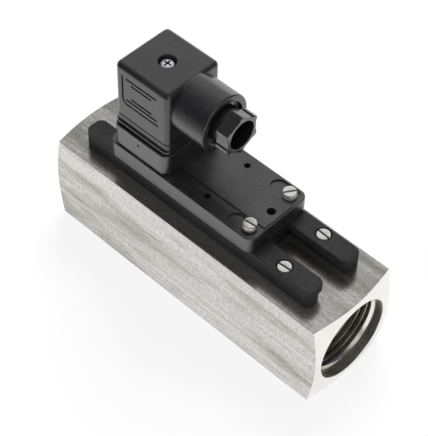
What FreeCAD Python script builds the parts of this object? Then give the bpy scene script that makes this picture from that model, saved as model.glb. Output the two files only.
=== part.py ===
import FreeCAD, Part
import math
import os

import Sketcher

# Variable area flow switch. A spring-loaded float with ring magnets moves along a tapered sleeve in a
# square bar body, and a reed switch in a head that slides on two rails closes as the magnets pass it.
# X runs along the flow, from inlet to outlet, Z is up, and the origin is the middle of the body's
# underside. All lengths are millimetres.

V = FreeCAD.Vector
ALONG_X = FreeCAD.Rotation(V(0, 1, 0), 90)
H_AXIS = -1
V_AXIS = -2
START, END, CENTRE = 1, 2, 3
HEX_SIDES = 6
TINY = 1e-6

SIZES = {
    # Shared by all pieces
    "overrun": (1.0, "how far a cut passes the face that it opens"),
    "lap": (1.0, "how far a form reaches into the one that it stands on"),
    "tip_gap": (0.5, "free space past the tip of a screw or blade"),
    # Square bar body with a threaded port in each end
    "body_length": (132.7, "length over the end faces"),
    "body_width": (40.0, "side of the square bar"),
    "body_edge_radius": (0.5, "rounding of the bar's long edges"),
    "end_flat_radius": (19.0, "flat left on each end by the turned cone"),
    "end_cone_angle": (15.0, "slope of the turned ends"),
    "end_cone_reach": (11.0, "radial reach of the cut that turns the ends"),
    "mouth_radius": (16.75, "plain counterbore ahead of the thread"),
    "mouth_depth": (3.6, "length of the counterbore"),
    "mouth_chamfer": (0.3, "broken edge of the counterbore"),
    "thread_radius": (16.62, "major radius of the G1 pipe thread"),
    "port_depth": (22.0, "end face to the end of the thread"),
    "bore_radius": (15.0, "bore between the ports"),
    "fit_gap": (0.02, "gap round pieces that are fixed in a hole"),
    # Guide rails
    "rail_length": (111.7, "length of a guide rail"),
    "rail_inner": (5.3, "inner edge of the rail's lip from the middle"),
    "rail_outer": (14.0, "outer edge of the rail from the middle"),
    "rail_height": (8.0, "rail top above the body"),
    "rail_tip_radius": (3.0, "rounded corners at the rail's tips"),
    "rail_edge_radius": (0.3, "rounding round the rail's top"),
    "undercut_reach": (7.1, "wall of the undercut from the middle"),
    "undercut_height": (5.0, "height of the undercut under the lip"),
    "rail_screw_right": (41.0, "rail screws towards the outlet"),
    "rail_screw_left": (-38.5, "rail screws towards the inlet, under the head at rest"),
    "rail_screw_y": (10.25, "rail screws from the middle"),
    "rail_hole_radius": (1.7, "clearance hole for a rail screw"),
    "tapped_depth": (5.8, "depth of the tapped holes in the body"),
    # Slotted cheese-head screws, M3
    "screw_radius": (1.5, "shank of an M3 screw"),
    "screw_head_radius": (2.75, "cheese head"),
    "screw_head_height": (2.0, "cheese head"),
    "slot_width": (0.8, "screwdriver slot"),
    "slot_depth": (0.9, "screwdriver slot"),
    "head_recess_radius": (3.1, "counterbore round a flush head"),
    "head_recess_depth": (2.05, "counterbore under a flush head"),
    # Stack of pieces in the bore
    "stack_half": (37.0, "middle to the inner face of a retaining ring"),
    "ring_thickness": (1.2, "retaining ring"),
    "ring_slack": (0.1, "play of the ring in its groove, each side"),
    "ring_groove_radius": (15.7, "groove for a retaining ring"),
    "ring_outer": (15.6, "retaining ring, outside"),
    "ring_inner": (13.6, "retaining ring, inside"),
    "ring_gap": (7.0, "opening of the retaining ring"),
    "lug_radius": (2.0, "eye at each end of the ring"),
    "lug_hole_radius": (0.9, "hole in the eye"),
    "lug_offset": (4.6, "eye from the middle of the opening"),
    "lug_drop": (12.2, "eye below the axis"),
    "cross_thickness": (4.0, "guide cross along the axis"),
    "cross_rim": (2.0, "width of the cross's rim"),
    "cross_hub_radius": (6.0, "hub of the cross"),
    "cross_arm_width": (2.4, "arm of the cross"),
    "cross_arms": (3, "number of arms"),
    "rod_radius": (1.5, "guide rod"),
    "rod_overhang": (3.0, "rod past the cross at each end"),
    "nut_flats": (5.5, "M3 nut across flats"),
    "nut_height": (2.4, "M3 nut"),
    "sleeve_radius": (14.95, "measuring sleeve, outside"),
    "throat_radius": (9.6, "sleeve, inside at the inlet"),
    "throat_length": (5.5, "straight part of the throat"),
    "sleeve_exit_radius": (12.8, "sleeve, inside at the outlet"),
    "seal_place": (5.0, "sleeve's inlet end to the middle of the O-ring"),
    "seal_wire_radius": (0.8, "squeezed section of the O-ring"),
    "seal_groove_width": (2.2, "groove for the O-ring"),
    "seal_groove_depth": (1.65, "groove for the O-ring"),
    # Float
    "float_gap": (0.1, "cross to the float's nose at rest"),
    "float_radius": (9.3, "sharp rim of the float"),
    "float_rim": (0.8, "width of the rim"),
    "float_nose_radius": (3.4, "tip of the nose"),
    "float_nose_length": (4.3, "cone from the tip to the rim"),
    "float_hub_radius": (6.4, "magnet holder behind the rim"),
    "float_length": (24.9, "nose to back face"),
    "float_bore_radius": (2.5, "hole for the bushes"),
    "magnet_seat_radius": (3.3, "inner wall of the magnet pocket"),
    "magnet_pocket_radius": (5.6, "outer wall of the magnet pocket"),
    "magnet_pocket_depth": (14.0, "pocket from the back face"),
    "magnet_length": (6.0, "one ring magnet"),
    "magnet_cap_length": (2.0, "ring that closes the pocket"),
    "inner_gap": (0.05, "gap round pieces inside the float"),
    "bush_bore_radius": (1.55, "running fit on the guide rod"),
    "bush_length": (6.0, "one plain bush"),
    "spring_radius": (4.4, "middle of the spring's wire"),
    "spring_wire_radius": (0.45, "spring wire"),
    "spring_turns": (7.0, "turns of the spring"),
    "spring_steps": (16.0, "facets round one turn"),
    "spring_sides": (6.0, "facets round the wire"),
    # Switch head, heights above the top of the rails
    "slide_gap": (0.15, "slab above the rails, and foot below the lips"),
    "slab_left": (-41.3, "slab's end under the plug"),
    "slab_right": (29.2, "slab's free end"),
    "slab_half": (15.3, "half width of the slab"),
    "slab_top": (7.0, "top of the slab's side strips"),
    "slab_corner_radius": (3.5, "slab's upright corners"),
    "slab_edge_radius": (0.4, "rounding round the slab's top"),
    "panel_half": (7.4, "half width of the raised middle"),
    "panel_rise": (0.5, "raised middle above the strips"),
    "panel_inset": (0.7, "raised middle to the free end"),
    "pedestal_left": (-39.4, "pedestal under the plug"),
    "pedestal_right": (-12.5, "pedestal under the plug"),
    "pedestal_half": (14.6, "half width of the pedestal"),
    "pedestal_top": (16.5, "top of the pedestal"),
    "pedestal_corner_radius": (3.2, "pedestal's upright corners"),
    "neck_half": (5.0, "foot's neck between the lips"),
    "foot_half": (6.8, "foot's flange under the lips"),
    "foot_drop": (7.6, "foot below the top of the rails"),
    "foot_inset": (1.0, "foot's ends inside the slab's"),
    "clamp_x": (24.3, "clamp screws along the slab"),
    "clamp_y": (10.3, "clamp screws from the middle"),
    "clamp_slot_x": (18.5, "left end centre of the clamp recess"),
    "clamp_recess_y": (11.1, "clamp recess from the middle"),
    "clamp_recess_radius": (3.2, "recess round a clamp screw"),
    "clamp_recess_depth": (0.7, "recess round a clamp screw"),
    "clamp_head_seat": (7.3, "underside of a clamp screw's head"),
    "clamp_tip": (0.1, "screw tip above the rail"),
    "clamp_bush_radius": (2.2, "threaded bush in the slab"),
    "clamp_bush_base": (1.0, "underside of the bush"),
    "pin_hole_x": (3.9, "small holes along the slab"),
    "pin_hole_y": (10.35, "small holes from the middle"),
    "pin_hole_radius": (1.2, "small hole"),
    "pin_hole_depth": (3.0, "small hole"),
    "fill_hole_x": (25.0, "larger hole in the raised middle"),
    "fill_hole_radius": (1.7, "larger hole"),
    "fill_hole_depth": (4.0, "larger hole"),
    "channel_left": (-32.0, "reed channel in the foot"),
    "channel_right": (6.0, "reed channel in the foot"),
    "channel_half": (2.4, "half width of the reed channel"),
    "channel_depth": (5.2, "reed channel above the foot's underside"),
    "shaft_right": (-26.0, "lead shaft up to the pedestal's hollow"),
    "hollow_floor": (2.5, "floor of the pedestal's hollow"),
    "cover_thickness": (0.8, "strip that closes the channel"),
    "reed_height": (-5.0, "reed capsule below the top of the rails"),
    "reed_left": (-11.5, "capsule's left end"),
    "reed_length": (15.0, "capsule's length"),
    "reed_radius": (1.1, "glass capsule"),
    "reed_end_radius": (0.77, "rounding of the capsule's ends"),
    "lead_radius": (0.3, "reed lead"),
    "lead_return_y": (1.7, "lead that runs back beside the capsule"),
    "lead_turn": (1.2, "capsule's right end to the return"),
    "lead_rise_near": (-28.0, "straight lead's rise"),
    "lead_rise_far": (-30.5, "return lead's rise"),
    "lead_top": (9.5, "ends of the leads"),
    # Plug connector
    "plug_x": (-26.0, "plug's middle along the slab"),
    "plug_half": (13.0, "half width of the plug"),
    "plug_corner_radius": (2.2, "plug's upright corners"),
    "plug_top": (45.3, "plug's flat top"),
    "plug_top_radius": (2.0, "rounding round the top"),
    "plug_cavity_half": (11.7, "half width of the plug's inside"),
    "plug_cavity_top": (41.6, "roof of the plug's inside"),
    "skirt_height": (0.9, "lip round the plug's foot"),
    "skirt_proud": (0.35, "lip past the plug's sides"),
    "foot_groove_height": (0.7, "groove above the lip"),
    "foot_groove_depth": (0.6, "groove above the lip"),
    "gasket_half": (12.6, "half width of the flat seal"),
    "gasket_thickness": (1.1, "flat seal"),
    "gasket_hole_half": (11.6, "half width of the seal's hole"),
    "base_half": (11.4, "half width of the pin base and block"),
    "base_bottom": (10.0, "underside of the pin base"),
    "base_top": (19.0, "top of the pin base"),
    "hollow_half": (11.5, "half width of the pedestal's hollow"),
    "blade_offset": (9.0, "contact blades from the plug's middle"),
    "blade_width": (6.3, "contact blade"),
    "blade_thickness": (0.8, "contact blade"),
    "blade_bottom": (8.0, "contact blade's lower end"),
    "blade_top": (28.0, "contact blade's upper end"),
    "block_bottom": (19.2, "terminal block"),
    "block_top": (29.5, "terminal block"),
    "terminal_offset": (6.0, "terminal screws from the plug's middle"),
    "terminal_head_radius": (2.0, "terminal screw"),
    "terminal_head_height": (1.2, "terminal screw"),
    "terminal_depth": (6.0, "terminal screw in the block"),
    "plug_recess_radius": (3.4, "recess for the centre screw"),
    "plug_recess_depth": (2.6, "recess for the centre screw"),
    "centre_head_radius": (2.5, "centre screw's head"),
    "centre_head_height": (1.6, "centre screw's head"),
    "centre_bottom": (12.0, "tip of the centre screw"),
    "cross_slot_length": (3.2, "cross recess in the head"),
    "cross_slot_width": (0.7, "cross recess in the head"),
    # Cable gland on the plug's side
    "gland_height": (34.5, "gland axis above the top of the rails"),
    "boss_radius": (11.25, "round boss"),
    "boss_length": (14.8, "boss past the plug's side"),
    "boss_edge_radius": (0.8, "rounding of the boss's rim"),
    "boss_mouth_radius": (8.6, "counterbore round the nut's neck"),
    "boss_mouth_depth": (1.5, "counterbore round the nut's neck"),
    "gland_thread_radius": (7.6, "thread for the gland nut"),
    "gland_thread_depth": (15.1, "boss's rim to the seal's seat"),
    "cable_hole_radius": (5.0, "hole into the plug"),
    "nut_corner": (8.5, "gland nut's corners"),
    "nut_out": (8.0, "nut past the boss's rim"),
    "nut_hex_length": (5.4, "hexagon along the axis"),
    "nut_neck_radius": (6.9, "neck between hexagon and shank"),
    "nut_neck_root": (2.0, "start of the shank behind the boss's rim"),
    "nut_shank_end": (9.5, "end of the nut's threaded shank"),
    "nut_bore_radius": (5.75, "cable hole in the nut"),
    "washer_thickness": (1.0, "thrust washer"),
    "washer_bore_radius": (5.4, "thrust washer"),
    "gland_seal_bore_radius": (4.5, "cable seal"),
}

doc = FreeCAD.newDocument("FlowSwitch")
sheet = doc.addObject("Spreadsheet::Sheet", "Size")
for row, (alias, (value, meaning)) in enumerate(SIZES.items(), 1):
    sheet.set(f"A{row}", alias)
    sheet.set(f"B{row}", str(value))
    sheet.set(f"C{row}", meaning)
    sheet.setAlias(f"B{row}", alias)
doc.recompute()

AXIS_Z = "Size.body_width / 2"
HEAD_Z = "Size.body_width + Size.rail_height"
GLAND_Z = f"{HEAD_Z} + Size.gland_height"
GLAND_X = "Size.plug_x + Size.plug_half + Size.boss_length"
# Places of the rail screws, each with the direction of its slot in degrees from X
RAIL_SCREWS = {
    ("Size.rail_screw_right", "Size.rail_screw_y"): -3,
    ("Size.rail_screw_right", "-Size.rail_screw_y"): 5,
    ("Size.rail_screw_left", "Size.rail_screw_y"): 71,
    ("Size.rail_screw_left", "-Size.rail_screw_y"): 112,
}
# Clamp screws by side, each with the sign of its place in Y and the direction of its slot
CLAMP_SCREWS = {"rear": ("", 57), "front": ("-", 8)}
nodes = []


def size(expression):
    """Present value of an expression on the sheet."""
    return float(sheet.evalExpression(expression))


def place(item, x="0", y="0", z="0", turn=None):
    """Turns a piece and ties its place to three expressions."""
    if turn:
        item.Placement = FreeCAD.Placement(V(), turn)
    for axis, expression in zip("xyz", (x, y, z)):
        if expression != "0":
            item.setExpression(f".Placement.Base.{axis}", expression)


def keep(label, item):
    """Names a finished piece, which is then written to its own file."""
    item.Label = label
    nodes.append(item)
    return item


def new_body(label, x="0", y="0", z="0"):
    body = doc.addObject("PartDesign::Body", label)
    place(body, x, y, z)
    return keep(label, body)


def sketch_on(body, role, offset="0"):
    """A sketch on one of the body's own planes, or on a plane moved along its normal."""
    sketch = body.newObject("Sketcher::SketchObject", f"{body.Name}_sketch")
    plane = next(item for item in body.Origin.OriginFeatures if item.Role == role)
    sketch.AttachmentSupport = [(plane, "")]
    sketch.MapMode = "FlatFace"
    if offset != "0":
        sketch.setExpression(".AttachmentOffset.Base.z", offset)
    return sketch


def tie(sketch, curve, point, x, y):
    """Ties a point of a sketch to two expressions measured from the sketch's origin."""
    for kind, axis, expression in (("DistanceX", V_AXIS, x), ("DistanceY", H_AXIS, y)):
        if expression == "0":
            sketch.addConstraint(Sketcher.Constraint("PointOnObject", curve, point, axis))
        else:
            rule = Sketcher.Constraint(kind, curve, point, size(expression))
            number = sketch.addConstraint(rule)
            sketch.setExpression(f"Constraints[{number}]", expression)


def outline(sketch, points):
    """Closed outline of straight lines through points given as pairs of expressions."""
    corners = [V(size(x), size(y), 0) for x, y in points]
    first = sketch.GeometryCount
    lines = [first + number for number in range(len(corners))]
    for number, corner in enumerate(corners):
        sketch.addGeometry(Part.LineSegment(corner, corners[(number + 1) % len(corners)]), False)
    for number, line in enumerate(lines):
        following = lines[(number + 1) % len(lines)]
        sketch.addConstraint(Sketcher.Constraint("Coincident", line, END, following, START))
    for line, (x, y) in zip(lines, points):
        tie(sketch, line, START, x, y)


def hexagon_corners(corner):
    """Corners of a hexagon that stands on one of them, as pairs of expressions."""
    half_side = f"{corner} / 2"
    half_flats = f"{corner} * sqrt(3) / 2"
    right = [("0", f"-{corner}"), (half_flats, f"-{half_side}"), (half_flats, half_side)]
    left = [("0", corner), (f"-{half_flats}", half_side), (f"-{half_flats}", f"-{half_side}")]
    return right + left


def rectangle(sketch, left, right, low, high):
    outline(sketch, [(left, low), (right, low), (right, high), (left, high)])


def square(sketch, half):
    rectangle(sketch, f"-{half}", half, f"-{half}", half)


def circle(sketch, radius, x="0", y="0"):
    middle = V(size(x), size(y), 0)
    curve = sketch.addGeometry(Part.Circle(middle, V(0, 0, 1), size(radius)), False)
    tie(sketch, curve, CENTRE, x, y)
    number = sketch.addConstraint(Sketcher.Constraint("Radius", curve, size(radius)))
    sketch.setExpression(f"Constraints[{number}]", radius)


def rounded_rectangle(sketch, left, right, low, high, radius):
    """Rectangle with four round corners, tied by the middles of its corners."""
    r = size(radius)
    near_x, far_x = f"{left} + ({radius})", f"{right} - ({radius})"
    near_y, far_y = f"{low} + ({radius})", f"{high} - ({radius})"
    middles = [(far_x, far_y), (near_x, far_y), (near_x, near_y), (far_x, near_y)]
    arcs, points = [], []
    for number, (x, y) in enumerate(middles):
        ring_curve = Part.Circle(V(size(x), size(y), 0), V(0, 0, 1), r)
        arc = Part.ArcOfCircle(ring_curve, number * math.pi / 2, (number + 1) * math.pi / 2)
        arcs.append(sketch.addGeometry(arc, False))
        points.append((arc.StartPoint, arc.EndPoint))
    for number, arc in enumerate(arcs):
        following = (number + 1) % len(arcs)
        line = sketch.addGeometry(Part.LineSegment(points[number][1], points[following][0]), False)
        sketch.addConstraint(Sketcher.Constraint("Tangent", arc, END, line, START))
        sketch.addConstraint(Sketcher.Constraint("Tangent", line, END, arcs[following], START))
    for arc, (x, y) in zip(arcs, middles):
        tie(sketch, arc, CENTRE, x, y)
        if arc != arcs[0]:
            sketch.addConstraint(Sketcher.Constraint("Equal", arcs[0], arc))
    number = sketch.addConstraint(Sketcher.Constraint("Radius", arcs[0], r))
    sketch.setExpression(f"Constraints[{number}]", radius)


def obround(sketch, left, right, y, radius):
    """Two lines joined by half circles about (left, y) and (right, y)."""
    x0, x1, level, r = (size(value) for value in (left, right, y, radius))
    upper = sketch.addGeometry(Part.LineSegment(V(x0, level + r, 0), V(x1, level + r, 0)), False)
    lower = sketch.addGeometry(Part.LineSegment(V(x1, level - r, 0), V(x0, level - r, 0)), False)
    ends = []
    for middle, start in ((x1, -math.pi / 2), (x0, math.pi / 2)):
        ring_curve = Part.Circle(V(middle, level, 0), V(0, 0, 1), r)
        ends.append(sketch.addGeometry(Part.ArcOfCircle(ring_curve, start, start + math.pi), False))
    near, far = ends
    for line, line_end, arc, arc_end in ((upper, END, near, END), (lower, START, near, START),
                                         (lower, END, far, END), (upper, START, far, START)):
        sketch.addConstraint(Sketcher.Constraint("Tangent", line, line_end, arc, arc_end))
    sketch.addConstraint(Sketcher.Constraint("Equal", near, far))
    tie(sketch, near, CENTRE, right, y)
    tie(sketch, far, CENTRE, left, y)
    number = sketch.addConstraint(Sketcher.Constraint("Radius", near, r))
    sketch.setExpression(f"Constraints[{number}]", radius)


def pad(body, sketch, length, symmetric=False):
    feature = body.newObject("PartDesign::Pad", f"{body.Name}_pad")
    feature.Profile = sketch
    feature.SideType = "Symmetric" if symmetric else "One side"
    feature.setExpression("Length", length)
    doc.recompute()
    return feature


def removed(body, feature, before):
    """Rebuilds the body and stops if a cut took nothing away."""
    doc.recompute()
    if not body.Shape.Volume < before:
        raise RuntimeError(f"{feature.Name} removes nothing")
    return feature


def pocket(body, sketch, depth, upward=False):
    before = body.Shape.Volume
    feature = body.newObject("PartDesign::Pocket", f"{body.Name}_pocket")
    feature.Profile = sketch
    feature.Reversed = upward
    feature.setExpression("Length", depth)
    return removed(body, feature, before)


def revolve(body, sketch):
    feature = body.newObject("PartDesign::Revolution", f"{body.Name}_revolve")
    feature.Profile = sketch
    feature.ReferenceAxis = (sketch, ["H_Axis"])
    feature.Angle = 360
    doc.recompute()
    return feature


def groove(body, sketch):
    before = body.Shape.Volume
    feature = body.newObject("PartDesign::Groove", f"{body.Name}_groove")
    feature.Profile = sketch
    feature.ReferenceAxis = (sketch, ["H_Axis"])
    feature.Angle = 360
    return removed(body, feature, before)


def round_edges(body, radius, chosen):
    """Rounds the edges of the body for which chosen(edge) is true."""
    base = body.Tip
    names = [f"Edge{number}" for number, edge in enumerate(base.Shape.Edges, 1) if chosen(edge)]
    feature = body.newObject("PartDesign::Fillet", f"{body.Name}_fillet")
    feature.Base = (base, names)
    feature.setExpression("Radius", radius)
    doc.recompute()
    return feature


def upright(edge):
    """True for a straight edge along Z."""
    box = edge.BoundBox
    return max(box.XLength, box.YLength) < TINY < box.ZLength


def lengthwise(edge):
    """True for a straight edge along X."""
    box = edge.BoundBox
    return max(box.YLength, box.ZLength) < TINY < box.XLength


def level_at(height):
    """Test for edges that lie in a level plane."""
    def chosen(edge):
        box = edge.BoundBox
        return max(abs(box.ZMin - height), abs(box.ZMax - height)) < TINY
    return chosen


def rim_at(*places):
    """Test for edges that lie square to X at one of the places."""
    def chosen(edge):
        box = edge.BoundBox
        return box.XLength < TINY and min(abs(box.XMin - x) for x in places) < TINY
    return chosen


def solid(kind, name, sizes, x="0", y="0", z="0", turn=None):
    """A primitive whose sizes and place are tied to expressions."""
    item = doc.addObject(f"Part::{kind}", name)
    for key, expression in sizes.items():
        item.setExpression(key, expression)
    place(item, x, y, z, turn)
    return item


def cylinder(name, radius, length, x="0", y="0", z="0", turn=None):
    return solid("Cylinder", name, {"Radius": radius, "Height": length}, x, y, z, turn)


def block(name, width, depth, height, x="0", y="0", z="0"):
    """A box centred on x and y that stands on z."""
    sizes = {"Length": width, "Width": depth, "Height": height}
    return solid("Box", name, sizes, f"{x} - ({width}) / 2", f"{y} - ({depth}) / 2", z)


def joined(name, pieces):
    item = doc.addObject("Part::MultiFuse", name)
    item.Shapes = pieces
    return item


def cut(name, base, tools):
    item = doc.addObject("Part::Cut", name)
    item.Base = base
    item.Tool = tools[0] if len(tools) == 1 else joined(f"{name}_tools", tools)
    return item


def group(label, pieces):
    """Separate solids that share one file."""
    item = doc.addObject("Part::Compound", label)
    item.Links = pieces
    return keep(label, item)


def ring(name, outer, inner, length, x="0", y="0", z="0", turn=None):
    """A plain ring from a cylinder and its hole."""
    outside = cylinder(f"{name}_outside", outer, length, x, y, z, turn)
    hole = cylinder(f"{name}_hole", inner, length, x, y, z, turn)
    return cut(name, outside, [hole])


def cheese_screw(name, x, y, seat, length, slot_turn):
    """Slotted cheese-head screw whose head stands on seat, with its slot turned from X."""
    head = cylinder(f"{name}_head", "Size.screw_head_radius", "Size.screw_head_height")
    shank = cylinder(f"{name}_shank", "Size.screw_radius", length, z=f"-({length})")
    slot_long = "2 * (Size.screw_head_radius + Size.overrun)"
    slot_tall = "Size.slot_depth + Size.overrun"
    slot_floor = "Size.screw_head_height - Size.slot_depth"
    slot = block(f"{name}_slot", slot_long, "Size.slot_width", slot_tall, z=slot_floor)
    screw = cut(name, joined(f"{name}_blank", [head, shank]), [slot])
    place(screw, x, y, seat, FreeCAD.Rotation(V(0, 0, 1), slot_turn))
    return screw


def make_meter_body():
    """Square bar, turned ends, stepped through bore, ring grooves and tapped holes for the rails."""
    body = new_body("meter_body", z=AXIS_Z)
    section = sketch_on(body, "YZ_Plane")
    square(section, "Size.body_width / 2")
    pad(body, section, "Size.body_length", symmetric=True)
    round_edges(body, "Size.body_edge_radius", lengthwise)

    ends = sketch_on(body, "XZ_Plane")
    top = "Size.end_flat_radius + Size.end_cone_reach"
    run = "Size.end_cone_reach * tan(Size.end_cone_angle * 1 deg)"
    for sign in ("", "-"):
        face = f"{sign}(Size.body_length / 2)"
        back = f"{sign}(Size.body_length / 2 - {run})"
        outline(ends, [(face, "Size.end_flat_radius"), (face, top), (back, top)])
    groove(body, ends)

    ring_far = "Size.stack_half + Size.ring_thickness + Size.ring_slack"
    half = [
        ("Size.stack_half - Size.ring_slack", "Size.bore_radius"),
        ("Size.stack_half - Size.ring_slack", "Size.ring_groove_radius"),
        (ring_far, "Size.ring_groove_radius"),
        (ring_far, "Size.bore_radius"),
        ("Size.body_length / 2 - Size.port_depth", "Size.bore_radius"),
        ("Size.body_length / 2 - Size.port_depth", "Size.thread_radius"),
        ("Size.body_length / 2 - Size.mouth_depth", "Size.thread_radius"),
        ("Size.body_length / 2 - Size.mouth_depth", "Size.mouth_radius"),
        ("Size.body_length / 2 - Size.mouth_chamfer", "Size.mouth_radius"),
        ("Size.body_length / 2", "Size.mouth_radius + Size.mouth_chamfer"),
        ("Size.body_length / 2", "0"),
    ]
    bore = sketch_on(body, "XZ_Plane")
    mirrored = [(f"-({x})", radius) for x, radius in reversed(half)]
    outline(bore, mirrored + half)
    groove(body, bore)

    taps = sketch_on(body, "XY_Plane", "Size.body_width / 2")
    for x, y in RAIL_SCREWS:
        circle(taps, "Size.screw_radius + Size.fit_gap", x, y)
    pocket(body, taps, "Size.tapped_depth")


def make_guide_rail(label, sign):
    """Rail of a narrow stem and a wider lip, with rounded tips and counterbored screw holes."""
    body = new_body(label, z="Size.body_width")
    lip_height = "Size.rail_height - Size.undercut_height"
    for inner, level, height in (("Size.undercut_reach", "0", "Size.undercut_height"),
                                 ("Size.rail_inner", "Size.undercut_height", lip_height)):
        plan = sketch_on(body, "XY_Plane", level)
        edges = sorted((f"{sign}{inner}", f"{sign}Size.rail_outer"), key=size)
        rounded_rectangle(plan, "-Size.rail_length / 2", "Size.rail_length / 2", *edges,
                          "Size.rail_tip_radius")
        pad(body, plan, height)
    round_edges(body, "Size.rail_edge_radius", level_at(size("Size.rail_height")))

    for radius, depth in (("Size.head_recess_radius", "Size.head_recess_depth"),
                          ("Size.rail_hole_radius", "Size.rail_height + Size.overrun")):
        holes = sketch_on(body, "XY_Plane", "Size.rail_height")
        for x in ("Size.rail_screw_right", "Size.rail_screw_left"):
            circle(holes, radius, x, f"{sign}Size.rail_screw_y")
        pocket(body, holes, depth)


def make_rail_screws():
    """Screws in the rails, with their heads flush and their slots as they were left when tightened."""
    seat = f"{HEAD_Z} - Size.head_recess_depth"
    length = "Size.rail_height - Size.head_recess_depth + Size.tapped_depth - Size.tip_gap"
    screws = [cheese_screw(f"rail_screw_{number}", x, y, seat, length, slot_turn)
              for number, ((x, y), slot_turn) in enumerate(RAIL_SCREWS.items())]
    group("rail_screws", screws)


def make_measuring_sleeve():
    """Sleeve whose inside opens from a straight throat, and the O-ring in its outer groove."""
    inlet = "-(Size.stack_half - Size.cross_thickness)"
    outlet = "Size.stack_half - Size.cross_thickness"
    seal_x = f"{inlet} + Size.seal_place"
    groove_floor = "Size.sleeve_radius - Size.seal_groove_depth"
    near = f"{seal_x} - Size.seal_groove_width / 2"
    far = f"{seal_x} + Size.seal_groove_width / 2"
    body = new_body("measuring_sleeve", z=AXIS_Z)
    section = sketch_on(body, "XZ_Plane")
    outline(section, [
        (inlet, "Size.throat_radius"),
        (inlet, "Size.sleeve_radius"),
        (near, "Size.sleeve_radius"),
        (near, groove_floor),
        (far, groove_floor),
        (far, "Size.sleeve_radius"),
        (outlet, "Size.sleeve_radius"),
        (outlet, "Size.sleeve_exit_radius"),
        (f"{inlet} + Size.throat_length", "Size.throat_radius"),
    ])
    revolve(body, section)
    middle = f"{groove_floor} + Size.seal_wire_radius + Size.fit_gap"
    sizes = {"Radius1": middle, "Radius2": "Size.seal_wire_radius"}
    keep("sleeve_seal", solid("Torus", "sleeve_seal", sizes, seal_x, "0", AXIS_Z, ALONG_X))


def make_guide_cross(label, x):
    """Rim, hub and three arms, with a hole for the guide rod."""
    body = new_body(label, x=x, z=AXIS_Z)
    rim = sketch_on(body, "YZ_Plane")
    circle(rim, "Size.sleeve_radius")
    circle(rim, "Size.sleeve_radius - Size.cross_rim")
    pad(body, rim, "Size.cross_thickness")
    spoke = sketch_on(body, "YZ_Plane")
    half_arm = "Size.cross_arm_width / 2"
    arm_end = "Size.sleeve_radius - Size.cross_rim / 2"
    rectangle(spoke, f"-{half_arm}", half_arm, "Size.rod_radius", arm_end)
    arm = pad(body, spoke, "Size.cross_thickness")
    arms = body.newObject("PartDesign::PolarPattern", f"{label}_arms")
    arms.Originals = [arm]
    arms.Axis = (spoke, ["N_Axis"])
    arms.Angle = 360
    arms.setExpression("Occurrences", "Size.cross_arms")
    body.Tip = arms
    doc.recompute()
    hub = sketch_on(body, "YZ_Plane")
    circle(hub, "Size.cross_hub_radius")
    pad(body, hub, "Size.cross_thickness")
    hole = sketch_on(body, "YZ_Plane", "Size.cross_thickness")
    circle(hole, "Size.rod_radius + Size.fit_gap")
    pocket(body, hole, "Size.cross_thickness + Size.overrun")


def make_guide_rod():
    """Rod through both crosses, and the nut outside each cross."""
    reach = "Size.stack_half + Size.rod_overhang"
    rod = cylinder("guide_rod", "Size.rod_radius", f"2 * ({reach})", f"-({reach})", "0", AXIS_Z, ALONG_X)
    keep("guide_rod", rod)
    nuts = []
    for name, x in (("inlet_nut", "-(Size.stack_half + Size.nut_height)"), ("outlet_nut", "Size.stack_half")):
        sizes = {"Circumradius": "Size.nut_flats / sqrt(3)", "Height": "Size.nut_height"}
        blank = solid("Prism", f"{name}_blank", sizes, x, "0", AXIS_Z, ALONG_X)
        blank.Polygon = HEX_SIDES
        hole_radius = "Size.rod_radius + Size.fit_gap"
        hole = cylinder(f"{name}_hole", hole_radius, "Size.nut_height", x, "0", AXIS_Z, ALONG_X)
        nuts.append(cut(name, blank, [hole]))
    group("rod_nuts", nuts)


def make_retaining_rings():
    """Two internal retaining rings, each open below with an eye at either side of the opening."""
    rings = []
    faces = {"inlet_ring": "-(Size.stack_half + Size.ring_thickness)", "outlet_ring": "Size.stack_half"}
    for name, x in faces.items():
        at = {"x": x, "z": AXIS_Z, "turn": ALONG_X}
        hoop = ring(f"{name}_hoop", "Size.ring_outer", "Size.ring_inner", "Size.ring_thickness", **at)
        lugs, eyes = [], []
        for side in ("", "-"):
            spot = {"x": x, "y": f"{side}Size.lug_offset", "z": f"{AXIS_Z} - Size.lug_drop", "turn": ALONG_X}
            tag = f"{name}_{'left' if side else 'right'}"
            lugs.append(cylinder(f"{tag}_lug", "Size.lug_radius", "Size.ring_thickness", **spot))
            eyes.append(cylinder(f"{tag}_eye", "Size.lug_hole_radius", "Size.ring_thickness", **spot))
        middle = f"{x} + Size.ring_thickness / 2"
        opening = block(f"{name}_opening", "Size.ring_thickness + Size.overrun", "Size.ring_gap",
                        "Size.ring_outer / 2", middle, "0", f"{AXIS_Z} - Size.ring_outer - Size.overrun")
        rings.append(cut(name, joined(f"{name}_blank", [hoop] + lugs), [opening] + eyes))
    group("retaining_rings", rings)


FLOAT_NOSE = "-(Size.stack_half - Size.cross_thickness - Size.float_gap)"
FLOAT_BACK = f"{FLOAT_NOSE} + Size.float_length"


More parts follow.
